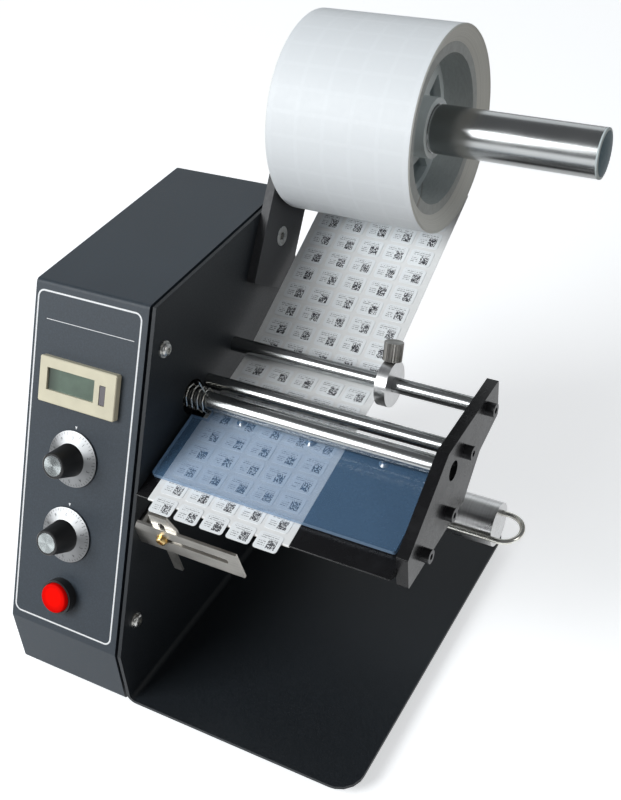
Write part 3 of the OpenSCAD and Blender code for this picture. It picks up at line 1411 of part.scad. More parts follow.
// Mains transformer: laminated core, coil, and the strap that holds it
module transformer() color([0.35, 0.34, 0.33]) home() {
    core_x1 = plate_x - coil_t;
    core_x0 = core_x1 - core_t;
    slab(core_x0, core_x1) polygon(rectangle(
        core_y0, core_z0, core_y0 + core_w, core_z0 + core_h));
    for (x = [[core_x0 - coil_t, core_x0], [core_x1, plate_x]])
        slab(x[0], x[1]) polygon(rounded(rectangle(core_y0 + 2, core_z0 + 6,
            core_y0 + core_w - 2, core_z0 + core_h - 6), 2, 3));
    for (side = [0, 1]) translate([0, core_y0, core_z0 + side * core_h])
        mirror([0, 0, 1 - side]) {
            translate([core_x0, 4, 0]) cube([core_t + coil_t, core_w - 8, 1]);
            translate([plate_x - 1, 4, 1]) cube([1, core_w - 8, 8]);
        }
}

// Mains inlet in the rear wall, with three pins in its recess
module power_inlet() color(black) home() translate([inlet_x, housing_d, inlet_z]) {
    recess = inlet_depth - 2;
    wall = 2.5;
    difference() {
        union() {
            translate([-inlet_lip, 0, -inlet_lip])
                cube([inlet_w + 2 * inlet_lip, 2.5, inlet_h + 2 * inlet_lip]);
            translate([0, -inlet_depth, 0]) cube([inlet_w, inlet_depth + past, inlet_h]);
        }
        translate([0, 2.5 - recess, 0]) rotate([-90, 0, 0]) linear_extrude(recess + past)
            polygon([[wall, -wall], [inlet_w - wall, -wall],
                [inlet_w - wall, -inlet_h + wall + 4], [inlet_w - wall - 4, -inlet_h + wall],
                [wall + 4, -inlet_h + wall], [wall, -inlet_h + wall + 4]]);
    }
    for (pin = [[0, 3], [-7, 0], [7, 0]])
        translate([inlet_w / 2 + pin[0] - 1, 2.5 - recess - past,
                inlet_h / 2 + pin[1] - 2]) cube([2, 8 + past, 4]);
}

// Drawing ------------------------

chassis_plate();
cover();
feet();
cover_screws();
roll_arm();
arm_fasteners();
spindle();
spindle_bolt();
spindle_cap();
label_roll();
roll_core();
core_hubs();
liner_web();
labels();
rear_guide_rod();
middle_guide_rod();
guide_collar();
collar_thumbscrew();
presser_rod();
presser_plate();
presser_screws();
presser_spring();
spring_cup();
end_plate();
frame_screws();
peel_platform();
takeup_core();
takeup_shaft();
takeup_pulley();
shaft_bushes();
liner_windings();
liner_clip();
drive_plate();
drive_pillars();
small_screws();
gear_motor();
motor_pulley();
drive_belt();
sensor_rail();
sensor_carrier();
sensor_eye();
sensor_screw();
counter_body();
counter_window();
counter_reset();
length_dial();
length_knob();
length_knob_inlay();
length_pot_shaft();
speed_dial();
speed_knob();
speed_knob_inlay();
speed_pot_shaft();
potentiometers();
power_button();
power_switch();
control_board();
board_standoffs();
transformer();
power_inlet();
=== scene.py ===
# %% [markdown]
# # A label dispenser, dressed for its portrait
#
# The machine is a folded steel housing with a control panel, and beside it an open
# frame of polished rods that carries a web of labels from a roll to a peel edge.
# Its shapes and sizes come from the imported CAD model. This lesson gives every surface
# the finish that the real one has: fine-textured powder coat, ground steel, spun
# aluminium, printed labels, clear acrylic. The first cell loads the model.

# %% Load the imported model
import json
import math

import bmesh
import bpy
from mathutils import Matrix, Vector

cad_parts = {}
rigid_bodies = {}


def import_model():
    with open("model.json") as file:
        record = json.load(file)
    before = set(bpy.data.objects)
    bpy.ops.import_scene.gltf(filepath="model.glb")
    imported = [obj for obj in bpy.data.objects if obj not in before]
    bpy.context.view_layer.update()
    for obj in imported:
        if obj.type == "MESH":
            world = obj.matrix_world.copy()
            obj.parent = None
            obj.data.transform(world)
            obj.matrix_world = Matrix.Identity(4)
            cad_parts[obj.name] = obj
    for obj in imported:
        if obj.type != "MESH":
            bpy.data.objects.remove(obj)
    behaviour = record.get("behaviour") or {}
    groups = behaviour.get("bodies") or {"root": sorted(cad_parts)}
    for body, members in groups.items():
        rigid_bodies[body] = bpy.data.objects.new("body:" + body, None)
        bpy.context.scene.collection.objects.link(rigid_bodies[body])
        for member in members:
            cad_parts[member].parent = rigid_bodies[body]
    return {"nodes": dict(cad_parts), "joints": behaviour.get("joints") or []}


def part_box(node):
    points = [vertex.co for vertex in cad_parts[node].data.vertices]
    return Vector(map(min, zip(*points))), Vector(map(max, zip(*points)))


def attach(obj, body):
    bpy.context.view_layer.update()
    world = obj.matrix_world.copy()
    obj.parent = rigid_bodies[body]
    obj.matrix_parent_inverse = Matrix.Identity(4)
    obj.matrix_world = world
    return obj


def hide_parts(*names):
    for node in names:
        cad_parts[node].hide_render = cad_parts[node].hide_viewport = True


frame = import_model()
nodes = frame["nodes"]
joints = {joint["name"]: joint for joint in frame["joints"]}
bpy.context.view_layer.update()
mm = 0.001

# %% [markdown]
# ## The camera
#
# A product picture like this one is taken from above and from the right, with a
# normal lens. The position and the three directions were found by fitting known
# points of the machine, so the render lines up with the photograph. Blender's camera
# looks along its own -Z, which is why the forward direction goes in negated. The
# picture is not centred on the optical axis, and the lens shift takes that up.

# %% Camera
photo_w, photo_h = 621, 800
focal_px = 1193.3
axis_px = (263.4, 412.05)
sensor = 36.0
camera_at = Vector((0.26155, -0.43884, 0.5145))
view_right = Vector((0.86208, 0.49860, -0.09063)).normalized()
view_ahead = Vector((-0.44391, 0.65671, -0.60965)).normalized()
view_up = view_right.cross(view_ahead).normalized()


def add_camera():
    data = bpy.data.cameras.new("camera")
    data.sensor_width = sensor
    data.lens = focal_px * sensor / photo_h
    data.shift_x = (photo_w / 2 - axis_px[0]) / photo_h
    data.shift_y = (axis_px[1] - photo_h / 2) / photo_h
    data.clip_start, data.clip_end = 0.01, 20
    camera = bpy.data.objects.new("camera", data)
    bpy.context.scene.collection.objects.link(camera)
    turn = Matrix((view_right, view_up, -view_ahead)).transposed().to_4x4()
    camera.matrix_world = Matrix.Translation(camera_at) @ turn
    bpy.context.scene.camera = camera
    return camera


camera = add_camera()
print("lens", round(camera.data.lens, 2), "mm")

# %% [markdown]
# ## The studio
#
# A pale floor and a few large soft lamps are all that a product shot needs. Large
# lamps matter here because polished rods are mirrors: what one sees on them is the
# shape of the lamps. A window stands at the front left, so the panel is lit
# and the machine's right side falls into shade. The world adds a low, even level. The
# floor shows pale to the camera and in the polished rods, but throws only a little
# warm light back on the machine, as a wooden table in a larger room would.

# %% Floor, lamps and world
floor_half = 4.0
floor_tone = (0.86, 0.87, 0.88)
floor_bounce = (0.26, 0.21, 0.17)
floor_level = 0.6
lamps = [
    # name, place, aimed at, width, height, watts, colour
    ("window", (-0.85, -1.15, 1.0), (0.0, 0.0, 0.15), 1.0, 0.9, 27.0, (0.97, 0.99, 1.0)),
    ("rear", (-1.0, 1.7, 1.15), (0.0, 0.1, 0.2), 2.6, 1.3, 9.5, (0.94, 0.98, 1.0)),
    ("side", (1.3, -0.1, 0.9), (0.0, 0.2, 0.25), 0.5, 1.0, 3.2, (1.0, 0.98, 0.95)),
]
world_tone = (0.93, 0.96, 1.0)
world_level = 0.16


def look_at(place, target):
    away = (Vector(place) - Vector(target)).normalized()
    return Matrix.Translation(place) @ away.to_track_quat("Z", "Y").to_matrix().to_4x4()


def add_lamp(name, place, target, width, height, watts, colour):
    data = bpy.data.lights.new(name, "AREA")
    data.shape = "RECTANGLE"
    data.size, data.size_y = width, height
    data.energy = watts
    data.color = colour
    lamp = bpy.data.objects.new(name, data)
    bpy.context.scene.collection.objects.link(lamp)
    lamp.matrix_world = look_at(place, target)


def set_world():
    world = bpy.data.worlds.new("studio")
    world.use_nodes = True
    background = world.node_tree.nodes["Background"]
    background.inputs["Color"].default_value = (*world_tone, 1)
    background.inputs["Strength"].default_value = world_level
    bpy.context.scene.world = world


for lamp in lamps:
    add_lamp(*lamp)
set_world()
bpy.context.scene.view_settings.view_transform = "Standard"
print(len(lamps), "lamps")

# %% [markdown]
# ## A small kit for materials
#
# Every finish below is the Principled shader with a few textures in front of it.
# The helpers keep each recipe short. `Finish` makes the material and sets its plain
# values, `noise` reads Object coordinates, `ramp` stretches a part of its range to
# the values that are wanted, `mixed` blends two colours by it, and `bump` turns a
# height into relief. Object coordinates are in metres here, so a scale of 1000 means
# a grain of about a millimetre.

# %% Material helpers
PLAIN = {"roughness": "Roughness", "metallic": "Metallic", "coat": "Coat Weight",
         "coat_roughness": "Coat Roughness", "specular": "Specular IOR Level",
         "glow": "Emission Strength"}
# The middle of a noise's range, where nearly all of its values lie
broad_middle, middle = (0.3, 0.7), (0.35, 0.7)


def deeper(colour, share):
    """The same colour with less light in it."""
    return tuple(share * part for part in colour)


class Finish:
    """A Principled material and the nodes in front of it."""

    def __init__(self, name, colour, **values):
        self.material = bpy.data.materials.new(name)
        self.material.use_nodes = True
        self.tree = self.material.node_tree
        self.shader = self.tree.nodes["Principled BSDF"]
        self.shader.inputs["Base Color"].default_value = (*colour, 1)
        for key, value in values.items():
            self.shader.inputs[PLAIN[key]].default_value = value
        coordinates = self.add("ShaderNodeTexCoord").outputs
        self.place, self.normal = coordinates["Object"], coordinates["Normal"]

    def add(self, kind, **settings):
        node = self.tree.nodes.new(kind)
        for key, value in settings.items():
            setattr(node, key, value)
        return node

    def feed(self, socket, value):
        if isinstance(value, bpy.types.NodeSocket):
            self.tree.links.new(value, socket)
        else:
            socket.default_value = value

    def mapped(self, scale=(1, 1, 1), place=(0, 0, 0), source=None):
        """Coordinates stretched and moved: a large scale squeezes a texture."""
        node = self.add("ShaderNodeMapping")
        self.feed(node.inputs["Vector"], source or self.place)
        self.feed(node.inputs["Location"], place)
        self.feed(node.inputs["Scale"], scale)
        return node.outputs["Vector"]

    def parts(self, vector):
        """The X, Y and Z of a vector."""
        node = self.add("ShaderNodeSeparateXYZ")
        self.feed(node.inputs["Vector"], vector)
        return node.outputs

    def vector(self, operation, *values):
        """A vector sum. LENGTH gives a number, and the others a vector."""
        node = self.add("ShaderNodeVectorMath", operation=operation)
        for socket, value in zip(node.inputs, values):
            self.feed(socket, value)
        return node.outputs["Value" if operation == "LENGTH" else "Vector"]

    def noise(self, scale, detail=2.0, roughness=0.5, source=None):
        node = self.add("ShaderNodeTexNoise")
        self.feed(node.inputs["Vector"], source or self.place)
        self.feed(node.inputs["Scale"], scale)
        self.feed(node.inputs["Detail"], detail)
        self.feed(node.inputs["Roughness"], roughness)
        return node.outputs["Fac"]

    def maths(self, operation, *values):
        node = self.add("ShaderNodeMath", operation=operation)
        for socket, value in zip(node.inputs, values):
            self.feed(socket, value)
        return node.outputs["Value"]

    def ramp(self, fac, low, high, stops=(0.0, 1.0)):
        """Goes from low to high while the input goes from stop to stop."""
        node = self.add("ShaderNodeMapRange")
        self.feed(node.inputs["Value"], fac)
        self.feed(node.inputs["From Min"], stops[0])
        self.feed(node.inputs["From Max"], stops[1])
        self.feed(node.inputs["To Min"], low)
        self.feed(node.inputs["To Max"], high)
        return node.outputs["Result"]

    def mixed(self, fac, first, second):
        """One colour or the other. The node has sockets of each type, told by their ids."""
        node = self.add("ShaderNodeMix", data_type="RGBA")
        self.feed(node.inputs["Factor"], fac)
        sockets = {socket.identifier: socket for socket in (*node.inputs, *node.outputs)}
        for key, value in (("A_Color", first), ("B_Color", second)):
            given = isinstance(value, bpy.types.NodeSocket)
            self.feed(sockets[key], value if given else (*value, 1))
        return sockets["Result_Color"]

    def colour(self, value):
        self.feed(self.shader.inputs["Base Color"], value)

    def roughness(self, value):
        self.feed(self.shader.inputs["Roughness"], value)

    def bump(self, height, strength, distance):
        node = self.add("ShaderNodeBump")
        self.feed(node.inputs["Height"], height)
        node.inputs["Strength"].default_value = strength
        node.inputs["Distance"].default_value = distance
        self.feed(self.shader.inputs["Normal"], node.outputs["Normal"])


def dress(finish, *names):
    """Gives a finish to CAD nodes, by name."""
    for name in names:
        slots = nodes[name].data.materials
        slots.clear()
        slots.append(finish.material)


# %% [markdown]
# ## Powder coat
#
# The housing and the base are sheet steel with a fine-textured charcoal powder coat.
# The powder melts into tiny pimples that scatter light, so the colour looks a little
# speckled and the gloss is low. Two noises do it: a fine one for the pimples, used
# for both relief and speckle, and a broad one for the slight unevenness of a large
# sprayed face. The side and base plate are painted darker than the cover, as painted
# shade, and the arm has the same paint in a smoother grade.

# %% Powder coat
coat_colour = (0.025, 0.034, 0.045)
coat_light = (0.042, 0.058, 0.076)
coat_grain, coat_relief = 1100.0, 0.12 * mm
base_shade_depth = 0.3


def powder_coat(name, dark, light, grain, relief):
    coat = Finish(name, dark, specular=0.4)
    pimples = coat.noise(grain, 3.0, 0.6)
    clouds = coat.noise(14.0, 2.0)
    speckle = coat.ramp(pimples, 0.0, 0.8, (0.4, 0.72))
    shade = coat.maths("ADD", speckle, coat.ramp(clouds, -0.12, 0.12, broad_middle))
    coat.colour(coat.mixed(shade, dark, light))
    coat.roughness(coat.ramp(pimples, 0.42, 0.6, broad_middle))
    coat.bump(pimples, 0.35, relief)
    return coat


dress(powder_coat("powder_coat", coat_colour, coat_light, coat_grain, coat_relief), "cover")
# The side and base plate's coat is darker than the cover's as painted shade
dress(powder_coat("base_coat_painted_shade", deeper(coat_colour, base_shade_depth), deeper(coat_light, base_shade_depth),
                  coat_grain, coat_relief), "chassis_plate")
dress(powder_coat("arm_paint", (0.035, 0.036, 0.04), (0.055, 0.056, 0.06), 700.0, 0.03 * mm),
      "roll_arm")
print("powder coat on", nodes["cover"].data.materials[0].name)

# %% [markdown]
# ## Gloss black
#
# The end plate and the peel platform are painted a wetter, glossier black. A spray
# finish is never quite flat: light on it swims a little, which painters call orange
# peel. A very shallow broad bump gives that, under a clear coat.

# %% Gloss black
def gloss_black(name, colour, roughness):
    paint = Finish(name, colour, coat=0.12, coat_roughness=0.12, specular=0.25)
    peel = paint.noise(420.0, 1.0)
    dust = paint.noise(90.0, 4.0, 0.7)
    paint.colour(paint.mixed(paint.ramp(dust, 0.0, 0.35, (0.5, 0.8)), colour,
                             (0.02, 0.021, 0.024)))
    paint.roughness(paint.ramp(dust, roughness, roughness + 0.12, (0.4, 0.8)))
    paint.bump(peel, 0.12, 0.05 * mm)
    return paint


dress(gloss_black("gloss_black", (0.007, 0.007, 0.008), 0.24), "end_plate", "peel_platform")

# %% [markdown]
# ## Ground and plated steel
#
# The spindle and the rods are ground round and polished, which leaves rings too fine
# to see that still stretch the highlights. A noise squeezed along the rod, X, and
# stretched across it makes such rings. Zinc plating is duller and slightly patchy,
# and the socket screws have a black oxide skin.

# %% Steel
def ground_steel(name, colour, roughness, rings):
    steel = Finish(name, colour, metallic=1.0)
    turned = steel.noise(1.0, 3.0, 0.6, steel.mapped(scale=(rings, 25.0, 25.0)))
    handling = steel.noise(45.0, 3.0)
    steel.roughness(steel.ramp(handling, roughness, roughness + 0.07, middle))
    steel.bump(turned, 0.03, 0.004 * mm)
    return steel


def plated(name, bright, dull, roughness, scale=260.0):
    metal = Finish(name, bright, metallic=1.0)
    patches = metal.noise(scale, 4.0, 0.6)
    metal.colour(metal.mixed(metal.ramp(patches, 0.0, 1.0, middle), bright, dull))
    metal.roughness(metal.ramp(patches, roughness - 0.06, roughness + 0.1, broad_middle))
    metal.bump(patches, 0.06, 0.02 * mm)
    return metal


dress(ground_steel("ground_steel", (0.42, 0.43, 0.43), 0.2, 2600.0),
      "spindle", "rear_guide_rod", "middle_guide_rod", "presser_rod", "takeup_shaft",
      "motor_pulley")
dress(plated("zinc_plating", (0.66, 0.66, 0.65), (0.5, 0.49, 0.46), 0.28),
      "cover_screws", "arm_fasteners", "presser_screws", "small_screws", "drive_pillars",
      "board_standoffs", "potentiometers", "length_pot_shaft", "speed_pot_shaft",
      "gear_motor")
dress(plated("thumbscrew_nickel", (0.36, 0.35, 0.33), (0.24, 0.23, 0.21), 0.34),
      "collar_thumbscrew")
dress(plated("black_oxide", (0.06, 0.06, 0.065), (0.1, 0.1, 0.1), 0.36),
      "frame_screws", "spindle_bolt")
dress(plated("spring_wire", (0.78, 0.78, 0.74), (0.6, 0.58, 0.52), 0.2),
      "presser_spring", "liner_clip")
dress(plated("cast_zinc", (0.25, 0.25, 0.26), (0.18, 0.18, 0.19), 0.5, 500.0), "spring_cup")
dress(plated("bronze", (0.6, 0.4, 0.2), (0.45, 0.3, 0.16), 0.3), "shaft_bushes")
dress(plated("brass", (0.78, 0.56, 0.24), (0.6, 0.42, 0.18), 0.25), "sensor_screw")

# %% [markdown]
# ## Brushed and turned aluminium
#
# The sensor's rail is brushed along its length, so its grain is a noise stretched
# along X. The take-up core, the collar and the pulleys were turned in a lathe and
# have rings around the same axis, so their grain is squeezed along X instead.

# %% Brushed and turned metal
def brushed(name, colour, roughness, stretch):
    metal = Finish(name, colour, metallic=1.0)
    grain = metal.noise(1.0, 4.0, 0.7, metal.mapped(scale=stretch))
    worn = metal.noise(60.0, 3.0)
    metal.colour(metal.mixed(metal.ramp(grain, 0.0, 1.0, broad_middle), colour,
                             deeper(colour, 0.8)))
    metal.roughness(metal.ramp(worn, roughness, roughness + 0.14, middle))
    metal.bump(grain, 0.14, 0.02 * mm)
    return metal


dress(brushed("brushed_sheet", (0.6, 0.58, 0.54), 0.28, (40.0, 1500.0, 1500.0)),
      "sensor_rail", "sensor_carrier", "drive_plate")
dress(brushed("turned_aluminium", (0.7, 0.7, 0.7), 0.25, (2200.0, 30.0, 30.0)),
      "guide_collar", "takeup_core", "takeup_pulley")

# %% [markdown]
# ## Spun faces of the knobs
#
# The dials and the discs in the knobs' ends are aluminium spun in a lathe. Their
# grooves run in rings about the knob's own axis, and light on them gathers in two
# bright wedges. The shader's anisotropy does that once it knows which way the grooves
# run: at each point that is the axis crossed with the line from the centre. The joint
# that turns the knob gives both, and the same line's length draws the grooves.

# %% Panel directions and spun aluminium
panel_out = Vector(joints["length_knob_turn"]["axis"]).normalized()
panel_up = panel_out.cross(Vector((1, 0, 0)))
wedge_strength = 0.9


def around(finish, centre, axis):
    """The direction round an axis, as long as the point's distance from it."""
    arm = finish.vector("SUBTRACT", finish.place, tuple(centre))
    return finish.vector("CROSS_PRODUCT", tuple(axis), arm)


def spun(name, centre, colour, groove, roughness):
    metal = Finish(name, colour, metallic=1.0)
    along = around(metal, centre, panel_out)
    radius = metal.vector("LENGTH", along)
    turned = metal.add("ShaderNodeVectorTransform", vector_type="VECTOR",
                       convert_from="OBJECT", convert_to="WORLD")
    metal.feed(turned.inputs["Vector"], metal.vector("NORMALIZE", along))
    metal.feed(metal.shader.inputs["Tangent"], turned.outputs["Vector"])
    metal.shader.inputs["Anisotropic"].default_value = wedge_strength
    rings = metal.maths("SINE", metal.maths("MULTIPLY", radius, math.tau / groove))
    patches = metal.noise(160.0, 2.0)
    metal.roughness(metal.ramp(patches, roughness, roughness + 0.08, broad_middle))
    metal.bump(rings, 0.25, 0.006 * mm)
    return metal


for knob in ("length", "speed"):
    centre = joints[f"{knob}_knob_turn"]["pos_m"]
    dress(spun(f"{knob}_dial_metal", centre, (0.27, 0.275, 0.28), 0.3 * mm, 0.32),
          f"{knob}_dial")
    dress(spun(f"{knob}_inlay_metal", centre, (0.42, 0.45, 0.45), 0.25 * mm, 0.2),
          f"{knob}_knob_inlay")

# %% [markdown]
# ## Plastics and rubber
#
# Moulded plastic is a plain colour with a faint skin: a little broad unevenness in
# the gloss and a very fine grain. One recipe with different colours and gloss covers
# the counter's bezel, the knobs, the hubs, the feet and the hidden pieces. The
# counter's display is the same with a darker end.

# %% Plastics
def moulded(name, colour, roughness, grain=900.0, relief=0.02, **values):
    plastic = Finish(name, colour, **values)
    fine = plastic.noise(grain, 2.0)
    broad = plastic.noise(55.0, 3.0)
    plastic.colour(plastic.mixed(plastic.ramp(broad, 0.0, 1.0, middle), colour,
                                 deeper(colour, 0.86)))
    plastic.roughness(plastic.ramp(broad, roughness, roughness + 0.1, broad_middle))
    plastic.bump(fine, 0.15, relief * mm)
    return plastic


dress(moulded("black_plastic", (0.014, 0.014, 0.015), 0.32),
      "length_knob", "speed_knob", "power_switch", "sensor_eye", "power_inlet")
dress(moulded("reset_grey", (0.14, 0.13, 0.145), 0.4), "counter_reset")
dress(moulded("cream_plastic", (0.7, 0.66, 0.5), 0.42), "counter_body")
dress(moulded("white_plastic", (0.82, 0.9, 0.92), 0.45), "core_hubs")
dress(moulded("rubber", (0.02, 0.02, 0.02), 0.8, 600.0, 0.06), "feet", "drive_belt")
dress(moulded("board_lacquer", (0.02, 0.12, 0.05), 0.35), "control_board")
dress(moulded("core_varnish", (0.09, 0.085, 0.08), 0.45, 300.0, 0.1), "transformer")


def display_glass(low, high):
    """The counter's display: its bezel shades the end next to the panel's edge."""
    lit, shaded, shaded_share = (0.15, 0.205, 0.165), (0.06, 0.072, 0.062), 0.3
    glass = moulded("display_glass", lit, 0.16, coat=0.5)
    shade_end = low.x + shaded_share * (high.x - low.x)
    shade = glass.ramp(glass.parts(glass.place)["X"], 1.0, 0.0, (low.x, shade_end))
    uneven = glass.ramp(glass.noise(120.0, 2.0), 0.0, 0.35, middle)
    glass.colour(glass.mixed(glass.maths("MAXIMUM", shade, uneven), lit, shaded))
    return glass


dress(display_glass(*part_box("counter_window")), "counter_window")

# %% [markdown]
# ## Lens and end cap
#
# Two round pieces have a rim of another colour than their middle. The push button's
# red lens has painted shade towards its rim, and glows slightly, because a lamp sits behind it.
# The spindle's end cap is a dark teal disc, and the tube's pale end shows round it.

# %% Red lens and end cap
def rimmed(name, centre, axis, edge, inside, rim, roughness, **values):
    """A round piece whose colour changes between two radii."""
    plastic = Finish(name, inside, **values)
    radius = plastic.vector("LENGTH", around(plastic, centre, axis))
    cloudy = plastic.ramp(plastic.noise(240.0, 2.0), -0.05, 0.05, broad_middle)
    share = plastic.maths("ADD", plastic.ramp(radius, 0.0, 1.0, edge), cloudy)
    plastic.colour(plastic.mixed(plastic.ramp(share, 0.0, 1.0), inside, rim))
    plastic.roughness(plastic.ramp(share, roughness, roughness + 0.1))
    return plastic


lens_edge, cap_edge = (4.0 * mm, 7.6 * mm), (10.9 * mm, 11.5 * mm)
lens_centre = sum(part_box("power_button"), Vector()) / 2
# The lens's darker rim colour is painted shade
lens = rimmed("red_lens", lens_centre, panel_out, lens_edge, (0.95, 0.004, 0.001),
              (0.6, 0.002, 0.001), 0.5, specular=0.04, glow=0.12)
lens.shader.inputs["Emission Color"].default_value = (0.95, 0.002, 0.001, 1)
dress(lens, "power_button")
spindle = joints["roll_spin"]
dress(rimmed("end_cap_plastic", spindle["pos_m"], spindle["axis"], cap_edge,
             (0.035, 0.085, 0.11), (0.6, 0.68, 0.7), 0.45, specular=0.15), "spindle_cap")
print("lens centre", [round(v, 4) for v in lens_centre])

# %% [markdown]
# ## Clear acrylic
#
# The presser plate is a clear sheet, and the labels show through it under a bluish
# veil of reflected light. Full refraction would also block the lamps, because light
# is not followed through glass to what lies under it, and the labels would go dark.
# A thin sheet hardly bends light anyway, so this one is see-through by its alpha, which
# grows towards grazing angles as the reflection on a real sheet does. The cut edges
# gather light from the whole sheet and look paler, so they are told from the faces by
# the direction that they look in.

# %% Acrylic
web_slope = math.radians(12.3)
veil_head_on, veil_grazing, edge_alpha = 0.14, 0.6, 0.6
# Faces and ends are told apart half way between looking along a direction and across it
half_way = (0.45, 0.55)


def clear_acrylic():
    face_blue, edge_blue = (0.2, 0.39, 0.66), (0.3, 0.46, 0.68)
    sheet = Finish("clear_acrylic", face_blue, roughness=0.04, specular=0.6, coat=0.5,
                   coat_roughness=0.02)
    facing = sheet.add("ShaderNodeLayerWeight")
    facing.inputs["Blend"].default_value = 0.35
    haze = sheet.noise(40.0, 2.0)
    veil = sheet.ramp(facing.outputs["Facing"], veil_head_on, veil_grazing)
    veil = sheet.maths("ADD", veil, sheet.ramp(haze, -0.015, 0.015, broad_middle))
    looks = sheet.parts(sheet.normal)
    level = sheet.maths("ADD", sheet.maths("MULTIPLY", looks["Y"], -math.sin(web_slope)),
                        sheet.maths("MULTIPLY", looks["Z"], math.cos(web_slope)))
    edge = sheet.ramp(sheet.maths("ABSOLUTE", level), 1.0, 0.0, half_way)
    sheet.colour(sheet.mixed(edge, face_blue, edge_blue))
    sheet.feed(sheet.shader.inputs["Alpha"],
               sheet.maths("MAXIMUM", veil, sheet.maths("MULTIPLY", edge, edge_alpha)))
    return sheet


dress(clear_acrylic(), "presser_plate")

# %% [markdown]
# ## Paper, liner and cardboard
#
# A roll of labels is wound from backing paper with its labels inside, so its outside
# is a blank white web on which the labels beneath show as faint patches. Its ends
# show the edges of hundreds of turns. Both follow the roll's own axis: the angle
# about it times the radius is the distance along the web, and the radius alone gives
# the rings. The same rings go on the liner wound on the take-up core, and the
# grey board core has the spiral seam that such tubes are glued with.

# %% Paper finishes
roll_axis = Vector(joints["roll_spin"]["pos_m"])
takeup_axis = Vector(joints["takeup_spin"]["pos_m"])
label_w, label_l, label_gap = 12.9 * mm, 10.0 * mm, 2.0 * mm
row_pitch, column_pitch = label_l + label_gap, label_w + label_gap
labels_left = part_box("labels")[0].x
turns_per_metre = 3200.0
windings_r = 15.0 * mm


def polar_parts(paper, axis):
    """Distance along X, radius, and angle about an axis along X through a point."""
    x, y, z = paper.parts(paper.mapped(place=(0, -axis.y, -axis.z)))
    squares = [paper.maths("MULTIPLY", v, v) for v in (y, z)]
    radius = paper.maths("SQRT", paper.maths("ADD", *squares))
    return x, radius, paper.maths("ARCTAN2", z, y)


def stripe(paper, along, pitch, width, start=0.0):
    """One inside a band of each pitch, zero outside, with soft edges."""
    shifted = paper.maths("SUBTRACT", along, start + width / 2)
    wave = paper.maths("PINGPONG", shifted, pitch / 2)
    soft = 0.3 * mm
    return paper.ramp(wave, 1.0, 0.0, (width / 2 - soft, width / 2 + soft))


def end_mask(paper):
    """One on faces that look along X, zero round the outside."""
    looks = paper.parts(paper.normal)
    return paper.ramp(paper.maths("ABSOLUTE", looks["X"]), 0.0, 1.0, half_way)


def radial_vector(paper, along, distance):
    """Coordinates whose Y is the radius, counted in turns of the paper."""
    joined = paper.add("ShaderNodeCombineXYZ")
    paper.feed(joined.inputs["X"], along)
    paper.feed(joined.inputs["Y"], paper.maths("MULTIPLY", distance, turns_per_metre))
    return joined.outputs["Vector"]


def wound_paper(name, axis, face, edge, radius, labels_show):
    """Labels show through the outside by a share, and turns at the ends."""
    paper = Finish(name, face, specular=0.35)
    along, distance, angle = polar_parts(paper, axis)
    fibre = paper.noise(350.0, 3.0, 0.6)
    turns = paper.noise(1.0, 2.0, 0.7, paper.mapped(
        scale=(30.0, 1.0, 1.0), source=radial_vector(paper, along, distance)))
    edge_tone = paper.mixed(paper.ramp(turns, 0.0, 1.0, (0.35, 0.65)), edge,
                            deeper(edge, 0.82))
    row = stripe(paper, paper.maths("MULTIPLY", angle, radius), row_pitch, label_l)
    column = stripe(paper, along, column_pitch, label_w, labels_left)
    patch = paper.maths("MULTIPLY", row, column)
    blank = paper.mixed(paper.maths("MULTIPLY", patch, labels_show), face, deeper(face, 0.9))
    outside = paper.mixed(paper.ramp(fibre, 0.0, 0.25, (0.4, 0.7)), blank,
                          deeper(face, 0.94))
    paper.colour(paper.mixed(end_mask(paper), outside, edge_tone))
    paper.roughness(paper.ramp(fibre, 0.42, 0.6, broad_middle))
    paper.bump(turns, 0.12, 0.05 * mm)
    return paper


def cardboard():
    spiral_pitch, seam_share = 90.0 * mm, 0.012
    board = Finish("cardboard", (0.6, 0.64, 0.65), specular=0.25)
    along, _, angle = polar_parts(board, roll_axis)
    fibre = board.noise(1.0, 4.0, 0.7, board.mapped(scale=(900.0, 300.0, 300.0)))
    turn = board.maths("DIVIDE", angle, math.tau)
    advance = board.maths("DIVIDE", along, spiral_pitch)
    spiral = board.maths("FRACT", board.maths("ADD", turn, advance))
    seam = board.ramp(spiral, 1.0, 0.0, (0.0, seam_share))
    tone = board.mixed(board.ramp(fibre, 0.0, 1.0, broad_middle), (0.6, 0.645, 0.65),
                       (0.51, 0.545, 0.55))
    board.colour(board.mixed(seam, tone, (0.36, 0.35, 0.34)))
    board.roughness(board.ramp(fibre, 0.7, 0.85, broad_middle))
    board.bump(fibre, 0.2, 0.08 * mm)
    return board


roll_radius = (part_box("label_roll")[1].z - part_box("label_roll")[0].z) / 2
liner_face = (0.86, 0.87, 0.87)
dress(wound_paper("roll_paper", roll_axis, (0.86, 0.9, 0.93), (0.84, 0.86, 0.82),
                  roll_radius, 0.22), "label_roll")
dress(wound_paper("wound_liner", takeup_axis, liner_face, (0.55, 0.55, 0.51), windings_r,
                  0.0), "liner_windings")
dress(cardboard(), "roll_core")
print("roll radius", round(roll_radius, 4))


# %% Backing paper
def backing_paper():
    """Smooth glassine: a little darker than the labels and more glossy."""
    liner = Finish("backing_paper", liner_face, specular=0.5)
    fibre = liner.noise(500.0, 3.0, 0.6)
    broad = liner.noise(30.0, 2.0)
    liner.colour(liner.mixed(liner.ramp(fibre, 0.0, 0.6, middle), liner_face,
                             (0.8, 0.81, 0.81)))
    liner.roughness(liner.ramp(broad, 0.28, 0.42, broad_middle))
    liner.bump(broad, 0.1, 0.2 * mm)
    return liner


dress(backing_paper(), "liner_web")

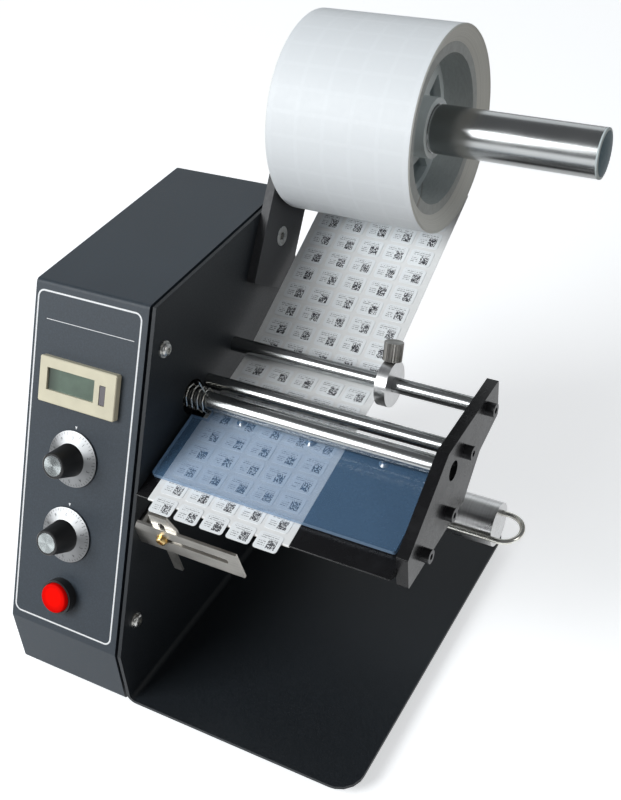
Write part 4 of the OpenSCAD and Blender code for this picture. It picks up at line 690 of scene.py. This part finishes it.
# %% [markdown]
# ## The printed labels
#
# Small labels sit in rows and columns on the backing paper: flat on the platform,
# then up the slope towards the roll. One label is modelled once, with a UV map for
# its print, and Geometry Nodes repeat it. A line of columns is repeated along a line
# of rows, and the block is leant to the slope of its stretch of web. Each copy also
# stores a number of its own, so that no two prints are quite alike. The front row has
# left the backing and stands out over the peel edge.

# %% Where the web runs
platform_l, platform_h = 66.0 * mm, 20.0 * mm
liner_t, label_t, label_r = 0.3 * mm, 0.2 * mm, 1.5 * mm
overhang = 7.0 * mm
web_clearance, roll_clearance = 0.1 * mm, 0.3 * mm
# The web lies this much above the platform and the labels above the web, together
web_skim = 0.04 * mm


def direction(angle):
    return Vector((0, math.cos(angle), math.sin(angle)))


def flat_start():
    """The peel edge's top, found from the platform's upper rear corner."""
    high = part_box("peel_platform")[1]
    rear = Vector((0, high.y - platform_h * math.sin(web_slope), high.z))
    return rear - platform_l * direction(web_slope)


def rise():
    """Slope of the web from the rear guide rod to the roll, and where it starts."""
    low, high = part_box("rear_guide_rod")
    rod, rod_r = (low + high) / 2, (high.z - low.z) / 2
    wrap = rod_r + web_clearance + liner_t + label_t
    roll = roll_radius + roll_clearance + liner_t + label_t
    span = Vector((0, roll_axis.y - rod.y, roll_axis.z - rod.z))
    slope = math.atan2(span.z, span.y) - math.asin((roll - wrap) / span.length)
    start = Vector((0, rod.y, rod.z)) + wrap * direction(slope - math.pi / 2)
    length = math.sqrt(span.length ** 2 - (roll - wrap) ** 2)
    return slope, start, length


rise_slope, rise_start, rise_length = rise()
rear_rod_y = (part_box("rear_guide_rod")[0].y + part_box("rear_guide_rod")[1].y) / 2
flat_length = (rear_rod_y - flat_start().y) / math.cos(web_slope)
flat_rows = math.floor((flat_length + overhang - label_l) / row_pitch) + 1
rise_rows = math.floor(rise_length / row_pitch)
columns = 5
print(flat_rows, "flat rows,", rise_rows, "rising rows, slope",
      round(math.degrees(rise_slope), 2))


# %% One label
def rounded_corners(w, h, r, steps):
    """Points round a rectangle with rounded corners, anticlockwise from (0, 0)."""
    centres = [(w - r, r, -90), (w - r, h - r, 0), (r, h - r, 90), (r, r, 180)]
    points = []
    for x, y, start in centres:
        for i in range(steps + 1):
            a = math.radians(start + 90 * i / steps)
            points.append((x + r * math.cos(a), y + r * math.sin(a)))
    return points


def one_label():
    mesh = bpy.data.meshes.new("label")
    build = bmesh.new()
    outline = rounded_corners(label_w, label_l, label_r, 3)
    top = [build.verts.new((x, y, label_t)) for x, y in outline]
    bottom = [build.verts.new((x, y, 0)) for x, y in outline]
    build.faces.new(top)
    build.faces.new(bottom[::-1])
    for i in range(len(outline)):
        j = (i + 1) % len(outline)
        build.faces.new((bottom[i], bottom[j], top[j], top[i]))
    uv = build.loops.layers.uv.new("UVMap")
    for face in build.faces:
        for loop in face.loops:
            loop[uv].uv = (loop.vert.co.x / label_w, loop.vert.co.y / label_l)
    build.to_mesh(mesh)
    build.free()
    return mesh


# %% Print on a label
def printed_label():
    """A white face with a small block of random dark cells and broken fine lines."""
    white, ink_colour, line_share = (0.89, 0.92, 0.94), (0.045, 0.045, 0.055), 0.66
    paper = Finish("printed_label", white, specular=0.4)
    seed = paper.add("ShaderNodeAttribute", attribute_name="print_seed").outputs["Fac"]
    u, v, _ = paper.parts(paper.add("ShaderNodeUVMap", uv_map="UVMap").outputs["UV"])

    def inside(value, low, high):
        above = paper.maths("GREATER_THAN", value, low)
        return paper.maths("MULTIPLY", above, paper.maths("LESS_THAN", value, high))

    def area(u_range, v_range):
        return paper.maths("MULTIPLY", inside(u, *u_range), inside(v, *v_range))

    def cells(across, down, share):
        """One in a share of the cells of a grid, by chance and other on each label."""
        joined = paper.add("ShaderNodeCombineXYZ")
        paper.feed(joined.inputs["X"], paper.maths("FLOOR", paper.maths("MULTIPLY", u, across)))
        paper.feed(joined.inputs["Y"], paper.maths("FLOOR", paper.maths("MULTIPLY", v, down)))
        paper.feed(joined.inputs["Z"], paper.maths("MULTIPLY", seed, 97.0))
        node = paper.add("ShaderNodeTexWhiteNoise")
        paper.feed(node.inputs["Vector"], joined.outputs["Vector"])
        return paper.maths("GREATER_THAN", node.outputs["Value"], 1 - share)

    block = paper.maths("MULTIPLY", area((0.5, 0.86), (0.13, 0.64)), cells(30.0, 21.0, 0.64))
    line_count, line_fill = 9.0, 0.42
    height = paper.maths("FRACT", paper.maths("MULTIPLY", v, line_count))
    lines = paper.maths("MULTIPLY", paper.maths("LESS_THAN", height, line_fill),
                        cells(46.0, line_count, 0.62))
    text = paper.maths("MAXIMUM", area((0.12, 0.86), (0.67, 0.9)),
                       area((0.12, 0.42), (0.22, 0.56)))
    lines = paper.maths("MULTIPLY", paper.maths("MULTIPLY", lines, text), line_share)
    ink = paper.maths("MAXIMUM", block, lines)
    fibre = paper.noise(420.0, 3.0)
    bare = paper.mixed(paper.ramp(fibre, 0.0, 0.4, (0.4, 0.7)), white, (0.83, 0.86, 0.88))
    paper.colour(paper.mixed(ink, bare, ink_colour))
    paper.roughness(paper.ramp(fibre, 0.4, 0.55, broad_middle))
    paper.bump(fibre, 0.08, 0.03 * mm)
    return paper


# %% Repeat the label along the web with Geometry Nodes
class Tree:
    """A Geometry Nodes tree with named inputs."""

    def __init__(self, name):
        self.tree = bpy.data.node_groups.new(name, "GeometryNodeTree")
        self.ids = {}
        self.tree.interface.new_socket("Geometry", in_out="INPUT",
                                       socket_type="NodeSocketGeometry")
        self.tree.interface.new_socket("Geometry", in_out="OUTPUT",
                                       socket_type="NodeSocketGeometry")
        self.start = self.tree.nodes.new("NodeGroupInput")
        self.end = self.tree.nodes.new("NodeGroupOutput")

    def value(self, name, kind, default):
        socket = self.tree.interface.new_socket(name, in_out="INPUT", socket_type=kind)
        if default is not None:
            socket.default_value = default
        self.ids[name] = socket.identifier
        return self.start.outputs[name]

    def node(self, kind, inputs=(), **settings):
        made = self.tree.nodes.new(kind)
        for key, value in settings.items():
            setattr(made, key, value)
        for key, value in dict(inputs).items():
            if isinstance(value, bpy.types.NodeSocket):
                self.tree.links.new(value, made.inputs[key])
            else:
                made.inputs[key].default_value = value
        return made

    def close(self, geometry, material):
        real = self.node("GeometryNodeRealizeInstances", {"Geometry": geometry})
        painted = self.node("GeometryNodeSetMaterial",
                            {"Geometry": real.outputs[0], "Material": material})
        self.tree.links.new(painted.outputs[0], self.end.inputs[0])


def grow(name, mesh, tree, values=()):
    """Runs a tree on a mesh, and returns the result as a plain mesh object."""
    source = bpy.data.objects.new(name + "_source", mesh)
    bpy.context.scene.collection.objects.link(source)
    modifier = source.modifiers.new("grow", "NODES")
    modifier.node_group = tree.tree
    for key, value in dict(values).items():
        modifier[tree.ids[key]] = value
    graph = bpy.context.evaluated_depsgraph_get()
    made = bpy.data.meshes.new_from_object(source.evaluated_get(graph))
    bpy.data.objects.remove(source)
    return piece(name, made)


def piece(name, mesh, finish=None):
    """A mesh as a finished object at the origin."""
    made = bpy.data.objects.new(name, mesh)
    mesh.name = name
    if finish:
        mesh.materials.clear()
        mesh.materials.append(finish.material)
    bpy.context.scene.collection.objects.link(made)
    return made


def label_tree(material):
    tree = Tree("label_rows")
    across = tree.value("Columns", "NodeSocketInt", columns)
    step_x = tree.value("Column pitch", "NodeSocketFloat", column_pitch)
    step_y = tree.value("Row pitch", "NodeSocketFloat", row_pitch)
    label = tree.start.outputs["Geometry"]
    blocks = []
    for stretch in ("Flat", "Rising"):
        rows = tree.value(stretch + " rows", "NodeSocketInt", 1)
        place = tree.value(stretch + " start", "NodeSocketVector", (0, 0, 0))
        slope = tree.value(stretch + " slope", "NodeSocketFloat", 0.0)
        x_step = tree.node("ShaderNodeCombineXYZ", {"X": step_x})
        y_step = tree.node("ShaderNodeCombineXYZ", {"Y": step_y})
        column_line = tree.node("GeometryNodeMeshLine",
                                {"Count": across, "Offset": x_step.outputs[0]})
        row_line = tree.node("GeometryNodeMeshLine",
                             {"Count": rows, "Offset": y_step.outputs[0]})
        one_row = tree.node("GeometryNodeInstanceOnPoints",
                            {"Points": column_line.outputs[0], "Instance": label})
        flat = tree.node("GeometryNodeRealizeInstances", {"Geometry": one_row.outputs[0]})
        block = tree.node("GeometryNodeInstanceOnPoints",
                          {"Points": row_line.outputs[0], "Instance": flat.outputs[0]})
        turn = tree.node("ShaderNodeCombineXYZ", {"X": slope})
        leant = tree.node("GeometryNodeTransform",
                          {"Geometry": block.outputs[0], "Translation": place,
                           "Rotation": turn.outputs[0]})
        blocks.append(leant)
    both = tree.node("GeometryNodeJoinGeometry")
    for block in blocks:
        tree.tree.links.new(block.outputs[0], both.inputs[0])
    real = tree.node("GeometryNodeRealizeInstances", {"Geometry": both.outputs[0]})
    island = tree.node("GeometryNodeInputMeshIsland")
    seed = tree.node("GeometryNodeStoreNamedAttribute",
                     {"Geometry": real.outputs[0], "Name": "print_seed",
                      "Value": island.outputs["Island Index"]},
                     data_type="FLOAT", domain="POINT")
    tree.close(seed.outputs[0], material)
    return tree


def web_point(start, slope, along, across):
    """A point on the upper side of the backing paper."""
    lift = (liner_t + web_skim) * direction(slope + math.pi / 2)
    return tuple(start + along * direction(slope) + lift + Vector((across, 0, 0)))


printed_labels = grow("printed_labels", one_label(), label_tree(printed_label().material), {
    "Flat rows": flat_rows,
    "Flat start": web_point(flat_start(), web_slope, -overhang, labels_left),
    "Flat slope": web_slope,
    "Rising rows": rise_rows,
    "Rising start": web_point(rise_start, rise_slope, label_gap / 2, labels_left),
    "Rising slope": rise_slope,
})
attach(printed_labels, "machine")
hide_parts("labels")
print(len(printed_labels.data.polygons), "label faces, first vertex",
      [round(v, 4) for v in printed_labels.data.vertices[0].co])

# %% [markdown]
# ## Marks on the control panel
#
# The panel has a white frame line with rounded corners, a thin rule near its top and
# a small pointer above each knob. Screen printing leaves a film a few hundredths of
# a millimetre thick, so each mark is a thin flat mesh just proud of the paint. All of
# them are drawn in the panel's own directions, across and down from its top left
# corner, which the first knob's joint gives.

# %% Panel marks
knob_across, length_down, speed_down = 32.2 * mm, 87.8 * mm, 129.7 * mm
panel_corner = (Vector(joints["length_knob_turn"]["pos_m"]) + length_down * panel_up
                - Vector((knob_across, 0, 0)))
film = 0.04 * mm
frame_low, frame_high = (1.4 * mm, 183.0 * mm), (65.9 * mm, 4.4 * mm)
frame_line, frame_corner, corner_steps = 0.9 * mm, 4.2 * mm, 8
rule_left, rule_right, rule_down, rule_line = 8.1 * mm, 62.3 * mm, 18.8 * mm, 0.32 * mm
pointer_w, pointer_h, pointer_gap = 1.4 * mm, 1.7 * mm, 15.7 * mm


def on_panel(across, down):
    return panel_corner + Vector((across, 0, 0)) - down * panel_up + film * panel_out


def flat_mark(build, outline):
    build.faces.new([build.verts.new(on_panel(x, y)) for x, y in outline])


def panel_frame(build):
    """A strip between two rounded rectangles."""
    w, h = frame_high[0] - frame_low[0], frame_low[1] - frame_high[1]
    loops = []
    for t in (0.0, frame_line):
        points = rounded_corners(w - 2 * t, h - 2 * t, frame_corner - t,
                                 corner_steps)
        loops.append([build.verts.new(on_panel(frame_low[0] + t + x, frame_low[1] - t - y))
                      for x, y in points])
    for i in range(len(loops[0])):
        j = (i + 1) % len(loops[0])
        build.faces.new((loops[0][i], loops[0][j], loops[1][j], loops[1][i]))


def panel_marks():
    build = bmesh.new()
    panel_frame(build)
    flat_mark(build, [(rule_left, rule_down + rule_line), (rule_right, rule_down + rule_line),
                      (rule_right, rule_down), (rule_left, rule_down)])
    for down in (length_down, speed_down):
        tip = down - pointer_gap
        flat_mark(build, [(knob_across, tip), (knob_across + pointer_w / 2, tip - pointer_h),
                          (knob_across - pointer_w / 2, tip - pointer_h)])
    mesh = bpy.data.meshes.new("panel_marks")
    build.to_mesh(mesh)
    build.free()
    return mesh


def printed_ink(name, thick, thin, grain, most_thin, roughness):
    """A film that lies thinner here and there, so what is under it dulls its colour."""
    ink = Finish(name, thick, specular=0.3)
    cover = ink.noise(grain, 2.0)
    ink.colour(ink.mixed(ink.ramp(cover, *most_thin), thick, thin))
    ink.roughness(ink.ramp(cover, *roughness, broad_middle))
    return ink


marks = piece("panel_marks", panel_marks(), printed_ink(
    "white_ink", (0.86, 0.88, 0.9), (0.62, 0.65, 0.68), 900.0, (0.0, 0.5, (0.4, 0.75)),
    (0.5, 0.65)))
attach(marks, "machine")
print(len(marks.data.polygons), "faces in the panel marks")

# %% [markdown]
# ## Scales on the dials
#
# Each dial carries ticks round its rim and plain numbers inside them, etched and
# filled black. The dial is a shallow cone, so the marks lean with it. One tick is a
# small strip, and Geometry Nodes put it on every point of a circle, with every fifth
# one longer. The numbers are text turned to mesh and set round the same circle. They
# turn with the knob, so they ride on its body.

# %% Dial scales
dial_r, knob_foot_r = 15.0 * mm, 8.8 * mm
dial_low, dial_high = 1.1 * mm, 3.2 * mm
cone_lean = math.atan2(dial_high - dial_low, dial_r - knob_foot_r)
ticks, tick_w, tick_l, tick_r = 50, 0.22 * mm, 1.1 * mm, 14.5 * mm
long_every, long_scale = 5, 1.7
number_size, number_r, numbers = 2.5 * mm, 11.6 * mm, 10


def dial_height(radius):
    return dial_low + (dial_r - radius) * math.tan(cone_lean) + film


def tick_mesh():
    """A strip from the rim inwards, drawn along -Y from the circle."""
    build = bmesh.new()
    drop = tick_l * math.sin(cone_lean)
    inner = -tick_l * math.cos(cone_lean)
    build.faces.new([build.verts.new(p) for p in (
        (-tick_w / 2, inner, drop), (tick_w / 2, inner, drop),
        (tick_w / 2, 0, 0), (-tick_w / 2, 0, 0))])
    mesh = bpy.data.meshes.new("tick")
    build.to_mesh(mesh)
    build.free()
    return mesh


def tick_tree(material):
    tree = Tree("dial_ticks")
    count = tree.value("Ticks", "NodeSocketInt", ticks)
    radius = tree.value("Radius", "NodeSocketFloat", tick_r)
    every = tree.value("Long every", "NodeSocketInt", long_every)
    longer = tree.value("Long scale", "NodeSocketFloat", long_scale)
    ring = tree.node("GeometryNodeMeshCircle", {"Vertices": count, "Radius": radius})
    index = tree.node("GeometryNodeInputIndex")
    rest = tree.node("ShaderNodeMath", {0: index.outputs[0], 1: every}, operation="MODULO")
    is_long = tree.node("ShaderNodeMath", {0: rest.outputs[0], 1: 0.5}, operation="LESS_THAN")
    extra = tree.node("ShaderNodeMath", {0: longer, 1: 1.0}, operation="SUBTRACT")
    scale = tree.node("ShaderNodeMath", {0: is_long.outputs[0], 1: extra.outputs[0], 2: 1.0},
                      operation="MULTIPLY_ADD")
    stretch = tree.node("ShaderNodeCombineXYZ", {"X": 1.0, "Y": scale.outputs[0],
                                                 "Z": scale.outputs[0]})
    turn = tree.node("ShaderNodeMath", {0: index.outputs[0], 1: count}, operation="DIVIDE")
    angle = tree.node("ShaderNodeMath", {0: turn.outputs[0], 1: math.tau}, operation="MULTIPLY")
    quarter = tree.node("ShaderNodeMath", {0: angle.outputs[0], 1: math.pi / 2},
                        operation="SUBTRACT")
    spin = tree.node("ShaderNodeCombineXYZ", {"Z": quarter.outputs[0]})
    copies = tree.node("GeometryNodeInstanceOnPoints", {
        "Points": ring.outputs[0], "Instance": tree.start.outputs["Geometry"],
        "Rotation": spin.outputs[0], "Scale": stretch.outputs[0]})
    tree.close(copies.outputs[0], material)
    return tree


def number_mesh(text):
    curve = bpy.data.curves.new("number", "FONT")
    curve.body = text
    curve.size = number_size
    curve.align_x, curve.align_y = "CENTER", "CENTER"
    curve.resolution_u = 3
    holder = bpy.data.objects.new("number", curve)
    bpy.context.scene.collection.objects.link(holder)
    graph = bpy.context.evaluated_depsgraph_get()
    mesh = bpy.data.meshes.new_from_object(holder.evaluated_get(graph))
    bpy.data.objects.remove(holder)
    return mesh


def dial_place(centre):
    """From the dial's own frame, Z outwards and Y up the panel, to the model."""
    turn = Matrix((Vector((1, 0, 0)), panel_up, panel_out)).transposed().to_4x4()
    return Matrix.Translation(centre) @ turn


def dial_scale(name, centre, ink):
    rim = grow(name + "_rim", tick_mesh(), tick_tree(ink.material))
    rim.data.transform(Matrix.Translation((0, 0, dial_height(tick_r))))
    build = bmesh.new()
    build.from_mesh(rim.data)
    bpy.data.objects.remove(rim)
    for i in range(numbers):
        mesh = number_mesh(str(i))
        place = (Matrix.Rotation(-math.tau * i / numbers, 4, "Z")
                 @ Matrix.Translation((0, number_r, dial_height(number_r)))
                 @ Matrix.Rotation(-cone_lean, 4, "X"))
        mesh.transform(place)
        build.from_mesh(mesh)
    mesh = bpy.data.meshes.new(name)
    build.to_mesh(mesh)
    build.free()
    mesh.transform(dial_place(centre))
    return piece(name, mesh, ink)


scale_ink = printed_ink("black_ink", (0.03, 0.03, 0.035), (0.12, 0.12, 0.13), 1200.0,
                        (0.0, 0.6, (0.4, 0.8)), (0.45, 0.6))
for knob in ("length", "speed"):
    scale = dial_scale(f"{knob}_dial_scale", joints[f"{knob}_knob_turn"]["pos_m"], scale_ink)
    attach(scale, f"{knob}_control")
    print(scale.name, len(scale.data.polygons), "faces")

# %% [markdown]
# ## Floor
#
# The floor is not part of the machine. What the camera and
# the polished metal see of it is a pale glow, and what other light finds is the dull
# warm tone of a table.

# %% Floor and finish
def add_floor():
    mesh = bpy.data.meshes.new("floor")
    s = floor_half
    mesh.from_pydata([(-s, -s, 0), (s, -s, 0), (s, s, 0), (-s, s, 0)], [], [(0, 1, 2, 3)])
    paint = Finish("floor_paint", floor_tone, specular=0.1, roughness=0.8)
    tone = paint.noise(3.0, 2.0)
    seen = paint.add("ShaderNodeLightPath")
    shown = seen.outputs["Is Camera Ray"]
    for ray in ("Is Glossy Ray", "Is Transmission Ray"):
        shown = paint.maths("MAXIMUM", shown, seen.outputs[ray])
    pale = paint.mixed(tone, floor_tone, deeper(floor_tone, 0.985))
    paint.colour(paint.mixed(shown, floor_bounce, pale))
    paint.feed(paint.shader.inputs["Emission Color"], (*floor_tone, 1))
    paint.feed(paint.shader.inputs["Emission Strength"],
               paint.maths("MULTIPLY", shown, floor_level))
    floor = piece("floor", mesh, paint)


add_floor()
